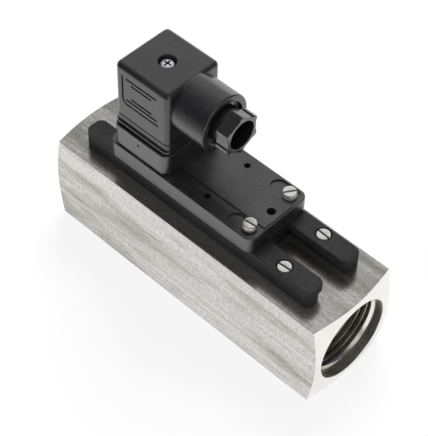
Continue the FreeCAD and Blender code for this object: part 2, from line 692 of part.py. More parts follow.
def make_float():
    """Float with a sharp rim and a magnet pocket, its magnets, the pocket's cap and the bushes."""
    rim = f"{FLOAT_NOSE} + Size.float_nose_length"
    pocket_floor = f"{FLOAT_BACK} - Size.magnet_pocket_depth"
    body = new_body("float_body", z=AXIS_Z)
    section = sketch_on(body, "XZ_Plane")
    outline(section, [
        (FLOAT_NOSE, "Size.float_bore_radius"),
        (FLOAT_NOSE, "Size.float_nose_radius"),
        (rim, "Size.float_radius"),
        (f"{rim} + Size.float_rim", "Size.float_radius"),
        (f"{rim} + Size.float_rim", "Size.float_hub_radius"),
        (FLOAT_BACK, "Size.float_hub_radius"),
        (FLOAT_BACK, "Size.magnet_pocket_radius"),
        (pocket_floor, "Size.magnet_pocket_radius"),
        (pocket_floor, "Size.magnet_seat_radius"),
        (FLOAT_BACK, "Size.magnet_seat_radius"),
        (FLOAT_BACK, "Size.float_bore_radius"),
    ])
    revolve(body, section)

    outer = "Size.magnet_pocket_radius - Size.inner_gap"
    inner = "Size.magnet_seat_radius + Size.inner_gap"
    magnets = []
    for number, name in enumerate(("front_magnet", "back_magnet")):
        x = f"{pocket_floor} + {number} * Size.magnet_length"
        magnets.append(ring(name, outer, inner, "Size.magnet_length", x, "0", AXIS_Z, ALONG_X))
    group("ring_magnets", magnets)
    cap_x = f"{FLOAT_BACK} - Size.magnet_cap_length"
    cap = ring("magnet_cap", outer, inner, "Size.magnet_cap_length", cap_x, "0", AXIS_Z, ALONG_X)
    keep("magnet_cap", cap)

    bush_outer = "Size.float_bore_radius - Size.fit_gap"
    bushes = []
    for name, x in (("front_bush", FLOAT_NOSE), ("back_bush", f"{FLOAT_BACK} - Size.bush_length")):
        bush = ring(name, bush_outer, "Size.bush_bore_radius", "Size.bush_length", x, "0", AXIS_Z, ALONG_X)
        bushes.append(bush)
    group("float_bushes", bushes)


def make_return_spring():
    """Compression spring between the float's back and the outlet cross, as a coil of flat facets."""
    clear = size("Size.spring_wire_radius + Size.fit_gap")
    free = size(f"Size.stack_half - Size.cross_thickness - ({FLOAT_BACK})") - 2 * clear
    coil, wire = size("Size.spring_radius"), size("Size.spring_wire_radius")
    steps = int(size("Size.spring_turns * Size.spring_steps"))
    sides = int(size("Size.spring_sides"))
    sections = []
    for step in range(steps + 1):
        turn = 2 * math.pi * step / size("Size.spring_steps")
        outward = V(0, math.cos(turn), math.sin(turn))
        middle = outward * coil + V(free * step / steps, 0, 0)
        angles = [2 * math.pi * side / sides for side in range(sides)]
        sections.append([middle + outward * (wire * math.cos(angle)) + V(wire * math.sin(angle), 0, 0)
                         for angle in angles])
    faces = []
    for near, far in zip(sections, sections[1:]):
        for side in range(sides):
            after = (side + 1) % sides
            faces.append((near[side], near[after], far[after]))
            faces.append((near[side], far[after], far[side]))
    faces += [sections[0], sections[-1]]
    shell = Part.makeShell([Part.Face(Part.makePolygon(list(face) + [face[0]])) for face in faces])
    spring = doc.addObject("Part::Feature", "return_spring")
    spring.Shape = Part.makeSolid(shell)
    place(spring, f"{FLOAT_BACK} + Size.spring_wire_radius + Size.fit_gap", "0", AXIS_Z)
    keep("return_spring", spring)


def make_switch_housing():
    """Moulded slab with a raised middle, pedestal, T-shaped foot, clamp recesses and reed channel."""
    body = new_body("switch_housing", z=HEAD_Z)
    slab = sketch_on(body, "XY_Plane", "Size.slide_gap")
    rectangle(slab, "Size.slab_left", "Size.slab_right", "-Size.slab_half", "Size.slab_half")
    pad(body, slab, "Size.slab_top - Size.slide_gap")
    round_edges(body, "Size.slab_corner_radius", upright)
    round_edges(body, "Size.slab_edge_radius", level_at(size("Size.slab_top")))

    panel = sketch_on(body, "XY_Plane", "Size.slab_top - Size.lap")
    panel_left = "Size.pedestal_right - Size.lap"
    panel_right = "Size.slab_right - Size.panel_inset"
    rectangle(panel, panel_left, panel_right, "-Size.panel_half", "Size.panel_half")
    pad(body, panel, "Size.panel_rise + Size.lap")

    pedestal = sketch_on(body, "XY_Plane", "Size.slab_top - Size.lap")
    rounded_rectangle(pedestal, "Size.pedestal_left", "Size.pedestal_right", "-Size.pedestal_half",
                      "Size.pedestal_half", "Size.pedestal_corner_radius")
    pad(body, pedestal, "Size.pedestal_top - Size.slab_top + Size.lap")

    foot = sketch_on(body, "YZ_Plane", "Size.slab_left + Size.foot_inset")
    shoulder = "-(Size.rail_height - Size.undercut_height + Size.slide_gap)"
    right_half = [
        ("Size.foot_half", "-Size.foot_drop"),
        ("Size.foot_half", shoulder),
        ("Size.neck_half", shoulder),
        ("Size.neck_half", "Size.slide_gap + Size.lap"),
    ]
    left_half = [(f"-{y}", z) for y, z in reversed(right_half)]
    outline(foot, right_half + left_half)
    pad(body, foot, "Size.slab_right - Size.slab_left - 2 * Size.foot_inset")

    recess = sketch_on(body, "XY_Plane", "Size.slab_top")
    bush_holes = sketch_on(body, "XY_Plane", "Size.slab_top")
    pin_holes = sketch_on(body, "XY_Plane", "Size.slab_top")
    for sign in ("", "-"):
        clamp_y = f"{sign}Size.clamp_y"
        recess_y = f"{sign}Size.clamp_recess_y"
        obround(recess, "Size.clamp_slot_x", "Size.clamp_x", recess_y, "Size.clamp_recess_radius")
        circle(bush_holes, "Size.clamp_bush_radius + Size.fit_gap", "Size.clamp_x", clamp_y)
        circle(pin_holes, "Size.pin_hole_radius", "Size.pin_hole_x", f"{sign}Size.pin_hole_y")
    pocket(body, recess, "Size.clamp_recess_depth")
    pocket(body, bush_holes, "Size.slab_top + Size.overrun")
    pocket(body, pin_holes, "Size.pin_hole_depth")
    fill_hole = sketch_on(body, "XY_Plane", "Size.slab_top + Size.panel_rise")
    circle(fill_hole, "Size.fill_hole_radius", "Size.fill_hole_x", "0")
    pocket(body, fill_hole, "Size.fill_hole_depth")

    hollow = sketch_on(body, "XY_Plane", "Size.pedestal_top")
    rectangle(hollow, "Size.plug_x - Size.hollow_half", "Size.plug_x + Size.hollow_half",
              "-Size.hollow_half", "Size.hollow_half")
    pocket(body, hollow, "Size.pedestal_top - Size.hollow_floor")
    channel = sketch_on(body, "XY_Plane", "-Size.foot_drop")
    rectangle(channel, "Size.channel_left", "Size.channel_right", "-Size.channel_half", "Size.channel_half")
    pocket(body, channel, "Size.channel_depth", upward=True)
    shaft = sketch_on(body, "XY_Plane", "-Size.foot_drop")
    rectangle(shaft, "Size.channel_left", "Size.shaft_right", "-Size.channel_half", "Size.channel_half")
    pocket(body, shaft, "Size.foot_drop + Size.hollow_floor + Size.overrun", upward=True)


def thin_wire(name, radius, points):
    """A lead of round wire through points, with a ball at each bend."""
    pieces = [Part.makeSphere(radius, point) for point in points[1:-1]]
    for start, end in zip(points, points[1:]):
        run = end - start
        pieces.append(Part.makeCylinder(radius, run.Length, start, run))
    item = doc.addObject("Part::Feature", name)
    item.Shape = pieces[0].multiFuse(pieces[1:]).removeSplitter()
    place(item, z=HEAD_Z)
    return item


def make_reed_switch():
    """Reed capsule, its leads up to the pin base, and the strip below them."""
    body = new_body("reed_capsule", "Size.reed_left", "0", f"{HEAD_Z} + Size.reed_height")
    section = sketch_on(body, "XZ_Plane")
    rectangle(section, "Size.fit_gap", "Size.reed_length", "0", "Size.reed_radius")
    revolve(body, section)
    round_edges(body, "Size.reed_end_radius", rim_at(size("Size.fit_gap"), size("Size.reed_length")))

    left, right = size("Size.reed_left"), size("Size.reed_left + Size.reed_length")
    level, top = size("Size.reed_height"), size("Size.lead_top")
    turn = right + size("Size.lead_turn")
    aside = size("Size.lead_return_y")
    near, far = size("Size.lead_rise_near"), size("Size.lead_rise_far")
    radius = size("Size.lead_radius")
    straight = thin_wire("straight_lead", radius, [V(left, 0, level), V(near, 0, level), V(near, 0, top)])
    back = thin_wire("return_lead", radius, [
        V(right, 0, level),
        V(turn, 0, level),
        V(turn, aside, level),
        V(far, aside, level),
        V(far, aside, top),
    ])
    group("reed_leads", [straight, back])

    gap = "Size.inner_gap * 2"
    middle = "(Size.channel_left + Size.channel_right) / 2"
    keep("reed_cover", block(
        "reed_cover", f"Size.channel_right - Size.channel_left - {gap}", f"2 * Size.channel_half - {gap}",
        "Size.cover_thickness", middle, "0", f"{HEAD_Z} - Size.foot_drop + Size.inner_gap"))


def make_clamps():
    """Threaded bushes in the slab, and the screws in them that press on the rails."""
    bushes, screws = [], []
    base = f"{HEAD_Z} + Size.clamp_bush_base"
    height = "Size.slab_top - Size.clamp_recess_depth - Size.clamp_bush_base"
    seat = f"{HEAD_Z} + Size.clamp_head_seat"
    length = "Size.clamp_head_seat - Size.clamp_tip"
    for name, (sign, slot_turn) in CLAMP_SCREWS.items():
        spot = {"x": "Size.clamp_x", "y": f"{sign}Size.clamp_y"}
        bore = "Size.screw_radius + Size.fit_gap"
        bushes.append(ring(f"{name}_bush", "Size.clamp_bush_radius", bore, height, z=base, **spot))
        screws.append(cheese_screw(f"{name}_clamp_screw", spot["x"], spot["y"], seat, length, slot_turn))
    group("clamp_bushes", bushes)
    group("clamp_screws", screws)


BLADES = {
    "right_blade": ("Size.blade_offset", "0", False),
    "left_blade": ("-Size.blade_offset", "0", False),
    "rear_blade": ("0", "Size.blade_offset", True),
    "front_blade": ("0", "-Size.blade_offset", True),
}


def blade_set(prefix, gap, bottom, top):
    """Flat blades round the plug's middle, or the slots that take them when gap is not zero."""
    pieces = []
    for name, (x, y, along_x) in BLADES.items():
        wide = f"Size.blade_width + 2 * {gap}"
        thin = f"Size.blade_thickness + 2 * {gap}"
        width, depth = (wide, thin) if along_x else (thin, wide)
        pieces.append(block(f"{prefix}_{name}", width, depth, f"{top} - {bottom}",
                            f"Size.plug_x + {x}", y, f"{HEAD_Z} + {bottom}"))
    return pieces


def make_pin_base():
    """Pin base in the pedestal, the blades through it and the flat seal round it."""
    side = "2 * Size.base_half"
    blank = block("pin_base_blank", side, side, "Size.base_top - Size.base_bottom",
                  "Size.plug_x", "0", f"{HEAD_Z} + Size.base_bottom")
    below, above = "(Size.base_bottom - Size.overrun)", "(Size.base_top + Size.overrun)"
    tools = blade_set("base_slot", "Size.fit_gap", below, above)
    tools.append(cylinder("base_thread", "Size.screw_radius + Size.fit_gap", "Size.base_top",
                          "Size.plug_x", "0", f"{HEAD_Z} + {below}"))
    keep("pin_base", cut("pin_base", blank, tools))
    group("contact_blades", blade_set("contact", "0", "Size.blade_bottom", "Size.blade_top"))

    body = new_body("flat_gasket", "Size.plug_x", "0", f"{HEAD_Z} + Size.pedestal_top")
    plan = sketch_on(body, "XY_Plane")
    square(plan, "Size.gasket_half")
    pad(body, plan, "Size.gasket_thickness")
    round_edges(body, "Size.plug_corner_radius", upright)
    hole = sketch_on(body, "XY_Plane", "Size.gasket_thickness")
    square(hole, "Size.gasket_hole_half")
    pocket(body, hole, "Size.gasket_thickness + Size.overrun")


def make_connector_shell():
    """Square plug with a lip and groove at its foot, rounded top, screw recess and round gland boss."""
    foot = "Size.pedestal_top + Size.gasket_thickness"
    body = new_body("connector_shell", "Size.plug_x", "0", HEAD_Z)
    plan = sketch_on(body, "XY_Plane", foot)
    square(plan, "Size.plug_half")
    pad(body, plan, f"Size.plug_top - ({foot})")
    round_edges(body, "Size.plug_corner_radius", upright)
    round_edges(body, "Size.plug_top_radius", level_at(size("Size.plug_top")))
    lip = sketch_on(body, "XY_Plane", foot)
    lip_half = "(Size.plug_half + Size.skirt_proud)"
    square(lip, lip_half)
    pad(body, lip, "Size.skirt_height")
    proud = size(lip_half)
    round_edges(body, "Size.plug_corner_radius + Size.skirt_proud",
                lambda edge: upright(edge) and abs(abs(edge.BoundBox.XMin) - proud) < TINY)
    foot_groove = sketch_on(body, "XY_Plane", f"{foot} + Size.skirt_height")
    groove_half = "(Size.plug_half - Size.foot_groove_depth)"
    square(foot_groove, "(Size.plug_half + Size.overrun)")
    rounded_rectangle(foot_groove, f"-{groove_half}", groove_half, f"-{groove_half}", groove_half,
                      "Size.plug_corner_radius - Size.foot_groove_depth")
    pocket(body, foot_groove, "Size.foot_groove_height", upward=True)

    boss = sketch_on(body, "YZ_Plane", "Size.plug_half - Size.lap")
    circle(boss, "Size.boss_radius", "0", "Size.gland_height")
    pad(body, boss, "Size.boss_length + Size.lap")
    round_edges(body, "Size.boss_edge_radius", rim_at(size("Size.plug_half + Size.boss_length")))

    inside = sketch_on(body, "XY_Plane", foot)
    square(inside, "Size.plug_cavity_half")
    pocket(body, inside, f"Size.plug_cavity_top - ({foot})", upward=True)
    into_plug = "Size.boss_length + Size.plug_half - Size.plug_cavity_half + Size.overrun"
    for radius, depth in (("Size.boss_mouth_radius", "Size.boss_mouth_depth"),
                          ("Size.gland_thread_radius", "Size.gland_thread_depth"),
                          ("Size.cable_hole_radius", into_plug)):
        bore = sketch_on(body, "YZ_Plane", "Size.plug_half + Size.boss_length")
        circle(bore, radius, "0", "Size.gland_height")
        pocket(body, bore, depth)
    through_roof = "Size.plug_top - Size.plug_cavity_top + Size.overrun"
    for radius, depth in (("Size.plug_recess_radius", "Size.plug_recess_depth"),
                          ("Size.rail_hole_radius", through_roof)):
        hole = sketch_on(body, "XY_Plane", "Size.plug_top")
        circle(hole, radius)
        pocket(body, hole, depth)


def make_terminals():
    """Terminal block over the blades, its screws, and the centre screw through the plug."""
    side = "2 * Size.base_half"
    blank = block("terminal_block_blank", side, side, "Size.block_top - Size.block_bottom",
                  "Size.plug_x", "0", f"{HEAD_Z} + Size.block_bottom")
    below = "(Size.block_bottom - Size.overrun)"
    tools = blade_set("block_slot", "Size.inner_gap", below, "(Size.blade_top + Size.tip_gap)")
    tools.append(cylinder("block_hole", "Size.rail_hole_radius", "Size.block_top",
                          "Size.plug_x", "0", f"{HEAD_Z} + {below}"))
    screws = []
    for number, (sign_x, sign_y) in enumerate((("", ""), ("", "-"), ("-", ""), ("-", "-"))):
        x = f"Size.plug_x + {sign_x}Size.terminal_offset"
        y = f"{sign_y}Size.terminal_offset"
        top = f"{HEAD_Z} + Size.block_top"
        low = f"{top} - Size.terminal_depth"
        tools.append(cylinder(f"terminal_hole_{number}", "Size.screw_radius + Size.fit_gap",
                              "Size.terminal_depth + Size.overrun", x, y, low))
        shank = cylinder(f"terminal_shank_{number}", "Size.screw_radius", "Size.terminal_depth", x, y, low)
        head = cylinder(f"terminal_head_{number}", "Size.terminal_head_radius",
                        "Size.terminal_head_height", x, y, top)
        screws.append(joined(f"terminal_screw_{number}", [shank, head]))
    keep("terminal_block", cut("terminal_block", blank, tools))
    group("terminal_screws", screws)

    seat = f"{HEAD_Z} + Size.plug_top - Size.plug_recess_depth"
    low = f"{HEAD_Z} + Size.centre_bottom"
    length = "Size.plug_top - Size.plug_recess_depth - Size.centre_bottom"
    shank = cylinder("centre_shank", "Size.screw_radius", length, "Size.plug_x", "0", low)
    head = cylinder("centre_head", "Size.centre_head_radius", "Size.centre_head_height",
                    "Size.plug_x", "0", seat)
    floor = f"{seat} + Size.centre_head_height / 2"
    slots = [block(name, width, depth, "Size.centre_head_height", "Size.plug_x", "0", floor)
             for name, width, depth in (("cross_slot_x", "Size.cross_slot_length", "Size.cross_slot_width"),
                                        ("cross_slot_y", "Size.cross_slot_width", "Size.cross_slot_length"))]
    keep("centre_screw", cut("centre_screw", joined("centre_screw_blank", [shank, head]), slots))


def make_gland():
    """Gland nut of hexagon, neck and shank, and the washer and cable seal behind it."""
    body = new_body("gland_nut", GLAND_X, "0", GLAND_Z)
    outer = "Size.gland_thread_radius - Size.inner_gap"
    shank = sketch_on(body, "YZ_Plane", "-Size.nut_shank_end")
    circle(shank, outer)
    pad(body, shank, "Size.nut_shank_end - Size.nut_neck_root")
    neck = sketch_on(body, "YZ_Plane", "-Size.nut_neck_root - Size.lap")
    circle(neck, "Size.nut_neck_radius")
    pad(body, neck, "Size.nut_neck_root + Size.nut_out - Size.nut_hex_length + 2 * Size.lap")
    hexagon = sketch_on(body, "YZ_Plane", "Size.nut_out - Size.nut_hex_length")
    outline(hexagon, hexagon_corners("Size.nut_corner"))
    pad(body, hexagon, "Size.nut_hex_length")
    bore = sketch_on(body, "YZ_Plane", "Size.nut_out")
    circle(bore, "Size.nut_bore_radius")
    pocket(body, bore, "Size.nut_out + Size.nut_shank_end + Size.overrun")

    washer_x = f"{GLAND_X} - Size.nut_shank_end - Size.washer_thickness"
    keep("thrust_washer", ring("thrust_washer", outer, "Size.washer_bore_radius", "Size.washer_thickness",
                               washer_x, "0", GLAND_Z, ALONG_X))
    seat_x = f"{GLAND_X} - Size.gland_thread_depth"
    seal_length = "Size.gland_thread_depth - Size.nut_shank_end - Size.washer_thickness"
    keep("gland_seal", ring("gland_seal", outer, "Size.gland_seal_bore_radius", seal_length,
                            seat_x, "0", GLAND_Z, ALONG_X))


def check_and_write():
    """Stops on any failed object or bad shape, then writes one file for each piece."""
    doc.recompute()
    failed = [item.Name for item in doc.Objects if {"Invalid", "Error"} & set(item.State)]
    bad = [item.Label for item in nodes if item.Shape.isNull() or not item.Shape.isValid()]
    if failed or bad:
        raise RuntimeError(f"failed objects {failed}, bad shapes {bad}")
    os.makedirs("parts", exist_ok=True)
    for item in nodes:
        item.Shape.exportStep(f"parts/{item.Label}.step")
        print(f"{item.Label}: {len(item.Shape.Solids)} solids, {item.Shape.Volume:.1f} mm3")


make_meter_body()
make_guide_rail("front_guide_rail", "-")
make_guide_rail("rear_guide_rail", "")
make_rail_screws()
make_measuring_sleeve()
make_guide_cross("inlet_guide_cross", "-Size.stack_half")
make_guide_cross("outlet_guide_cross", "Size.stack_half - Size.cross_thickness")
make_guide_rod()
make_retaining_rings()
make_float()
make_return_spring()
make_switch_housing()
make_reed_switch()
make_clamps()
make_pin_base()
make_connector_shell()
make_terminals()
make_gland()
check_and_write()
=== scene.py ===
"""Looks of a variable area flow switch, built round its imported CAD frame."""

import logging
import math
from abc import ABC, abstractmethod
from collections.abc import Callable, Iterable, Sequence
from dataclasses import dataclass, field
from enum import Enum

import bmesh
import bpy
from mathutils import Matrix, Vector


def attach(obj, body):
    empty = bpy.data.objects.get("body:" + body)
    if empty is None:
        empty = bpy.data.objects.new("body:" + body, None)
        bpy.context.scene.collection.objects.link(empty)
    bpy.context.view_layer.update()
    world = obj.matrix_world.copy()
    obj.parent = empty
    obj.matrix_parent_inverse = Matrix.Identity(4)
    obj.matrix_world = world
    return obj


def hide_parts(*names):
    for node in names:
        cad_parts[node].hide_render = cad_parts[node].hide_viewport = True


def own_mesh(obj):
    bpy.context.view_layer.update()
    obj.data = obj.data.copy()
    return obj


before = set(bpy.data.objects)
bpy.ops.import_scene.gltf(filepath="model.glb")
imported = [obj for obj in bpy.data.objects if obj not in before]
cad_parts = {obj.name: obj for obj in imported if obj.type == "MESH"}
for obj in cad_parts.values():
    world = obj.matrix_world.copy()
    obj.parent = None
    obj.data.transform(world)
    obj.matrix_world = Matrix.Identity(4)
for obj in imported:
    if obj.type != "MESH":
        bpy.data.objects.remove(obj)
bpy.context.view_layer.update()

LOG = logging.getLogger("flow_switch")
MM = 0.001

# In millimetres: a tool's reach past the face it cuts, its height over the floor it leaves,
# how far joined solids sink into each other, and the margins of tests on faces and edges.
PAST = 1.0
TALL = 3.0
OVERLAP = 0.5
SLACK = 0.05
CLOSE = 0.01
ON_LEVEL = 0.001
# In millimetres: distances under which points of a new shape and of a CAD copy are merged.
MERGE = 1e-4
CAD_MERGE = 0.002

Pair = tuple[float, float]
Point = tuple[float, float, float]
Colour = tuple[float, float, float]
Profile = Sequence[Pair]
Socket = bpy.types.NodeSocket
# Constants and linked sockets, by the name or number of a node's input.
Inputs = dict[str | int, object]
# Test on the two ends of an edge, or on the middle and the normal of a face.
Test = Callable[[Vector, Vector], bool]


class Body(Enum):
    """CAD bodies that pieces ride on."""

    METER = "meter"
    FLOAT = "float"
    HEAD = "switch_head"


class Axis(Enum):
    """Axes of the frame."""

    X = "X"
    Y = "Y"
    Z = "Z"

    @property
    def number(self) -> int:
        """Place of the axis in a vector."""
        return "XYZ".index(self.value)


class Maths(Enum):
    """Ways to join two numbers."""

    ADD = "ADD"
    LESS = "SUBTRACT"
    TIMES = "MULTIPLY"
    MOST = "MAXIMUM"


class Cut(Enum):
    """What a boolean does with the volume of its tools."""

    AWAY = "DIFFERENCE"
    UNITE = "UNION"
    SHARED = "INTERSECT"


def grey(tone: float) -> Colour:
    """Colour with three equal parts."""
    return (tone, tone, tone)


def placed(name: str, data: bpy.types.ID) -> bpy.types.Object:
    """Puts new data into the scene.

    Args:
        name: Name of the object.
        data: Mesh, camera or lamp.

    Returns:
        The new object.
    """
    made = bpy.data.objects.new(name, data)
    bpy.context.scene.collection.objects.link(made)
    return made


class Nodes:
    """Short ways to add and link the nodes of one material or world."""

    def __init__(self, tree: bpy.types.NodeTree) -> None:
        """Keeps the tree that nodes are added to."""
        self.tree = tree

    def feed(self, node: bpy.types.Node, inputs: Inputs) -> None:
        """Sets inputs of a node to constants, or links them where a socket is given.

        Args:
            node: Node that takes them.
            inputs: The constants and sockets.
        """
        for name, value in inputs.items():
            if isinstance(value, Socket):
                self.tree.links.new(value, node.inputs[name])
            else:
                node.inputs[name].default_value = value

    def add(self, kind: str, inputs: Inputs | None = None, **settings: object) -> bpy.types.Node:
        """Adds a node.

        Args:
            kind: Node type, without the ShaderNode prefix.
            inputs: Constants and sockets for its inputs.
            **settings: Attributes of the node.

        Returns:
            The new node.
        """
        node = self.tree.nodes.new("ShaderNode" + kind)
        for name, value in settings.items():
            setattr(node, name, value)
        self.feed(node, inputs or {})
        return node

    def along(self, axis: Axis) -> Socket:
        """Object coordinate along one axis, in metres."""
        place = self.add("TexCoord").outputs["Object"]
        return self.add("SeparateXYZ", {"Vector": place}).outputs[axis.value]

    def noise(self, scale: Point, detail: float = 3.0, rough: float = 0.55) -> Socket:
        """Noise pattern on Object coordinates.

        Args:
            scale: Repeats a metre along each axis.
            detail: Octaves.
            rough: Weight of the finer octaves.

        Returns:
            Socket with values round one half.
        """
        place = self.add("TexCoord").outputs["Object"]
        mapping = self.add("Mapping", {"Scale": scale, "Vector": place})
        pattern = self.add("TexNoise", {"Scale": 1.0, "Detail": detail, "Roughness": rough,
                                        "Vector": mapping.outputs["Vector"]})
        return pattern.outputs["Fac"]

    def ramp(self, value: Socket, *stops: tuple[float, Colour]) -> Socket:
        """Colours along a value.

        Args:
            value: Socket that is looked up.
            *stops: Positions with their colours.

        Returns:
            Colour socket.
        """
        node = self.add("ValToRGB", {"Fac": value})
        steps = node.color_ramp.elements
        while len(steps) < len(stops):
            steps.new(1.0)
        for step, (position, colour) in zip(steps, stops):
            step.position = position
            step.color = (*colour, 1.0)
        return node.outputs["Color"]

    def greys(self, value: Socket, steps: Profile) -> Socket:
        """Greys along a value, from pairs of position and tone."""
        return self.ramp(value, *((position, grey(tone)) for position, tone in steps))

    def spread(self, value: Socket, low: float, high: float, start: float = 0.3,
               end: float = 0.7) -> Socket:
        """Maps the values from start to end to the range from low to high."""
        limits = {"From Min": start, "From Max": end, "To Min": low, "To Max": high}
        return self.add("MapRange", {"Value": value, **limits}).outputs["Result"]

    def combine(self, first: Socket, second: Socket, how: Maths = Maths.TIMES) -> Socket:
        """Joins two numbers by arithmetic."""
        return self.add("Math", {0: first, 1: second}, operation=how.value).outputs["Value"]

    def tint(self, first: Socket, second: Socket) -> Socket:
        """Multiplies two colours."""
        colours = {"Factor": 1.0, 6: first, 7: second}
        return self.add("Mix", colours, data_type="RGBA", blend_type="MULTIPLY").outputs[2]

    def bump(self, height: Socket, strength: float, depth_mm: float) -> Socket:
        """Surface relief from a pattern that is read as height."""
        relief = {"Height": height, "Strength": strength, "Distance": depth_mm * MM}
        return self.add("Bump", relief).outputs["Normal"]


@dataclass(frozen=True)
class Finish(ABC):
    """Surface finish that makes its material once."""

    name: str
    slot: str

    def material(self) -> bpy.types.Material:
        """Finds or makes the material.

        Returns:
            Material with this finish's name.
        """
        found = bpy.data.materials.get(self.name)
        if found:
            return found
        made = bpy.data.materials.new(self.name)
        made.use_nodes = True
        nodes = Nodes(made.node_tree)
        nodes.feed(made.node_tree.nodes["Principled BSDF"], self.inputs(nodes))
        return made

    @abstractmethod
    def inputs(self, nodes: Nodes) -> Inputs:
        """Makes the patterns of the surface.

        Args:
            nodes: Helper for the material's nodes.

        Returns:
            Inputs of the material's Principled shader.
        """


@dataclass(frozen=True)
class BrushedSteel(Finish):
    """Stainless steel with a mottled grain, streaks along X, stains, painted shade and a few dark
    scratches.

    A zone of stains and painted shade has an axis, a share that grows along it, and the places
    where that starts and ends, in metres.
    """

    dark: Colour = (0.50, 0.485, 0.465)
    light: Colour = (0.81, 0.785, 0.76)
    roughness: Pair = (0.19, 0.26)
    streaks: Point = (9.0, 620.0, 620.0)
    grain: Point = (650.0, 850.0, 850.0)
    tone_range: Pair = (0.85, 1.15)
    gloss_range: Pair = (0.75, 1.25)
    scratches: Point = (1.6, 150.0, 150.0)
    scratch: Colour = (0.80, 0.79, 0.77)
    scratch_stops: Point = (0.488, 0.5, 0.512)
    patches: Point = (20.0, 110.0, 110.0)
    # Colour of the stains and of the painted shade.
    stain_and_shade: Colour = (0.56, 0.55, 0.525)
    stain_and_shade_stops: Pair = (0.26, 0.46)
    stain_and_shade_zones: tuple[tuple[Axis, float, float, float], ...] = (
        # Stains towards both ends.
        (Axis.X, 0.16, -0.035, -0.07),
        (Axis.X, 0.04, 0.02, 0.066),
        # Painted shade: the top is darker towards the back, and the back edge is left clear.
        (Axis.Y, 0.176, -0.012, 0.018),
        (Axis.Y, -0.176, 0.0185, 0.0198),
        # Darker towards the bottom.
        (Axis.Z, 0.064, 0.036, 0.02),
    )
    stretch: float = 0.3
    metallic: float = 0.86

    def inputs(self, nodes: Nodes) -> Inputs:
        """Grain and streaks in colour, gloss and relief, with stains and scratches over them.

        Args:
            nodes: Helper for the material's nodes.

        Returns:
            Inputs of the material's Principled shader.
        """
        streak = nodes.noise(self.streaks, detail=5.0, rough=0.65)
        grain = nodes.noise(self.grain, detail=6.0, rough=0.75)
        stain_and_shade_mask = nodes.noise(self.patches, detail=6.0, rough=0.66)
        line = nodes.noise(self.scratches, detail=2.0, rough=0.4)
        both = nodes.combine(nodes.spread(streak, low=0.42, high=0.58), grain, Maths.ADD)
        tone = nodes.ramp(nodes.spread(both, 0.0, 1.0, *self.tone_range),
                          (0.0, self.dark), (1.0, self.light))
        # The zones add painted shade and more stains to the stain mask.
        for axis, share, start, end in self.stain_and_shade_zones:
            more = nodes.spread(nodes.along(axis), 0.0, share, start, end)
            stain_and_shade_mask = nodes.combine(stain_and_shade_mask, more, Maths.LESS)
        clear = grey(1.0)
        stain_and_shade_tint = nodes.ramp(stain_and_shade_mask, *zip(self.stain_and_shade_stops, (self.stain_and_shade, clear)))
        scratched = nodes.ramp(line, *zip(self.scratch_stops, (clear, self.scratch, clear)))
        across = nodes.add("Tangent", direction_type="RADIAL", axis=Axis.X.value)
        return {
            "Base Color": nodes.tint(nodes.tint(tone, stain_and_shade_tint), scratched),
            "Roughness": nodes.spread(both, *self.roughness, *self.gloss_range),
            "Normal": nodes.bump(both, strength=0.05, depth_mm=0.01),
            "Tangent": across.outputs["Tangent"],
            "Anisotropic": self.stretch,
            "Metallic": self.metallic,
        }


@dataclass(frozen=True)
class PlainMetal(Finish):
    """Plated, turned or drawn metal with a fine tooling pattern."""

    colour: Colour = (0.80, 0.76, 0.70)
    shade: Colour = (0.62, 0.58, 0.53)
    roughness: Pair = (0.16, 0.3)
    marks: Point = (2700.0, 2700.0, 2700.0)
    patches: Point = (400.0, 400.0, 400.0)
    tone_stops: Pair = (0.3, 0.62)
    metallic: float = 1.0

    def inputs(self, nodes: Nodes) -> Inputs:
        """Uneven colour and gloss with faint tool marks.

        Args:
            nodes: Helper for the material's nodes.

        Returns:
            Inputs of the material's Principled shader.
        """
        cloud, marks = nodes.noise(self.patches), nodes.noise(self.marks)
        return {
            "Base Color": nodes.ramp(cloud, *zip(self.tone_stops, (self.shade, self.colour))),
            "Roughness": nodes.spread(marks, *self.roughness),
            "Normal": nodes.bump(marks, strength=0.15, depth_mm=0.01),
            "Metallic": self.metallic,
        }


@dataclass(frozen=True)
class Moulding(Finish):
    """Moulded plastic or rubber with a fine grain, mottling and cloudy wear."""

    colour: Colour = (0.030, 0.030, 0.032)
    shade: Colour = (0.020, 0.020, 0.021)
    roughness: Pair = (0.28, 0.38)
    grain: float = 2600.0
    relief: float = 0.2
    ior: float = 1.75
    mottling: Point = (620.0, 850.0, 850.0)
    clouds: Point = (70.0, 110.0, 110.0)
    wear_range: Pair = (0.75, 1.25)

    def inputs(self, nodes: Nodes) -> Inputs:
        """Mottled colour, uneven gloss and a grained surface.

        Args:
            nodes: Helper for the material's nodes.

        Returns:
            Inputs of the material's Principled shader.
        """
        mottle = nodes.noise(self.mottling, detail=5.0, rough=0.7)
        grain = nodes.noise((self.grain,) * 3, detail=2.0)
        wear = nodes.combine(mottle, nodes.noise(self.clouds), Maths.ADD)
        return {
            "Base Color": nodes.ramp(nodes.spread(wear, 0.0, 1.0, *self.wear_range),
                                     (0.0, self.shade), (1.0, self.colour)),
            "Roughness": nodes.spread(wear, *self.roughness, *self.wear_range),
            "Normal": nodes.bump(grain, self.relief, depth_mm=0.03),
            "IOR": self.ior,
        }


@dataclass(frozen=True)
class Glass(Finish):
    """Clear, faintly green glass."""

    colour: Colour = (0.85, 0.95, 0.90)
    shade: Colour = (0.799, 0.893, 0.846)
    waves: Point = (300.0, 900.0, 900.0)
    tone_stops: Pair = (0.3, 0.7)

    def inputs(self, nodes: Nodes) -> Inputs:
        """Clear glass with slight drawing waves.

        Args:
            nodes: Helper for the material's nodes.

        Returns:
            Inputs of the material's Principled shader.
        """
        waves = nodes.noise(self.waves, detail=2.0)
        return {
            "Base Color": nodes.ramp(waves, *zip(self.tone_stops, (self.shade, self.colour))),
            "Normal": nodes.bump(waves, strength=0.1, depth_mm=0.02),
            "Roughness": 0.04,
            "Transmission Weight": 0.9,
            "IOR": 1.5,
        }


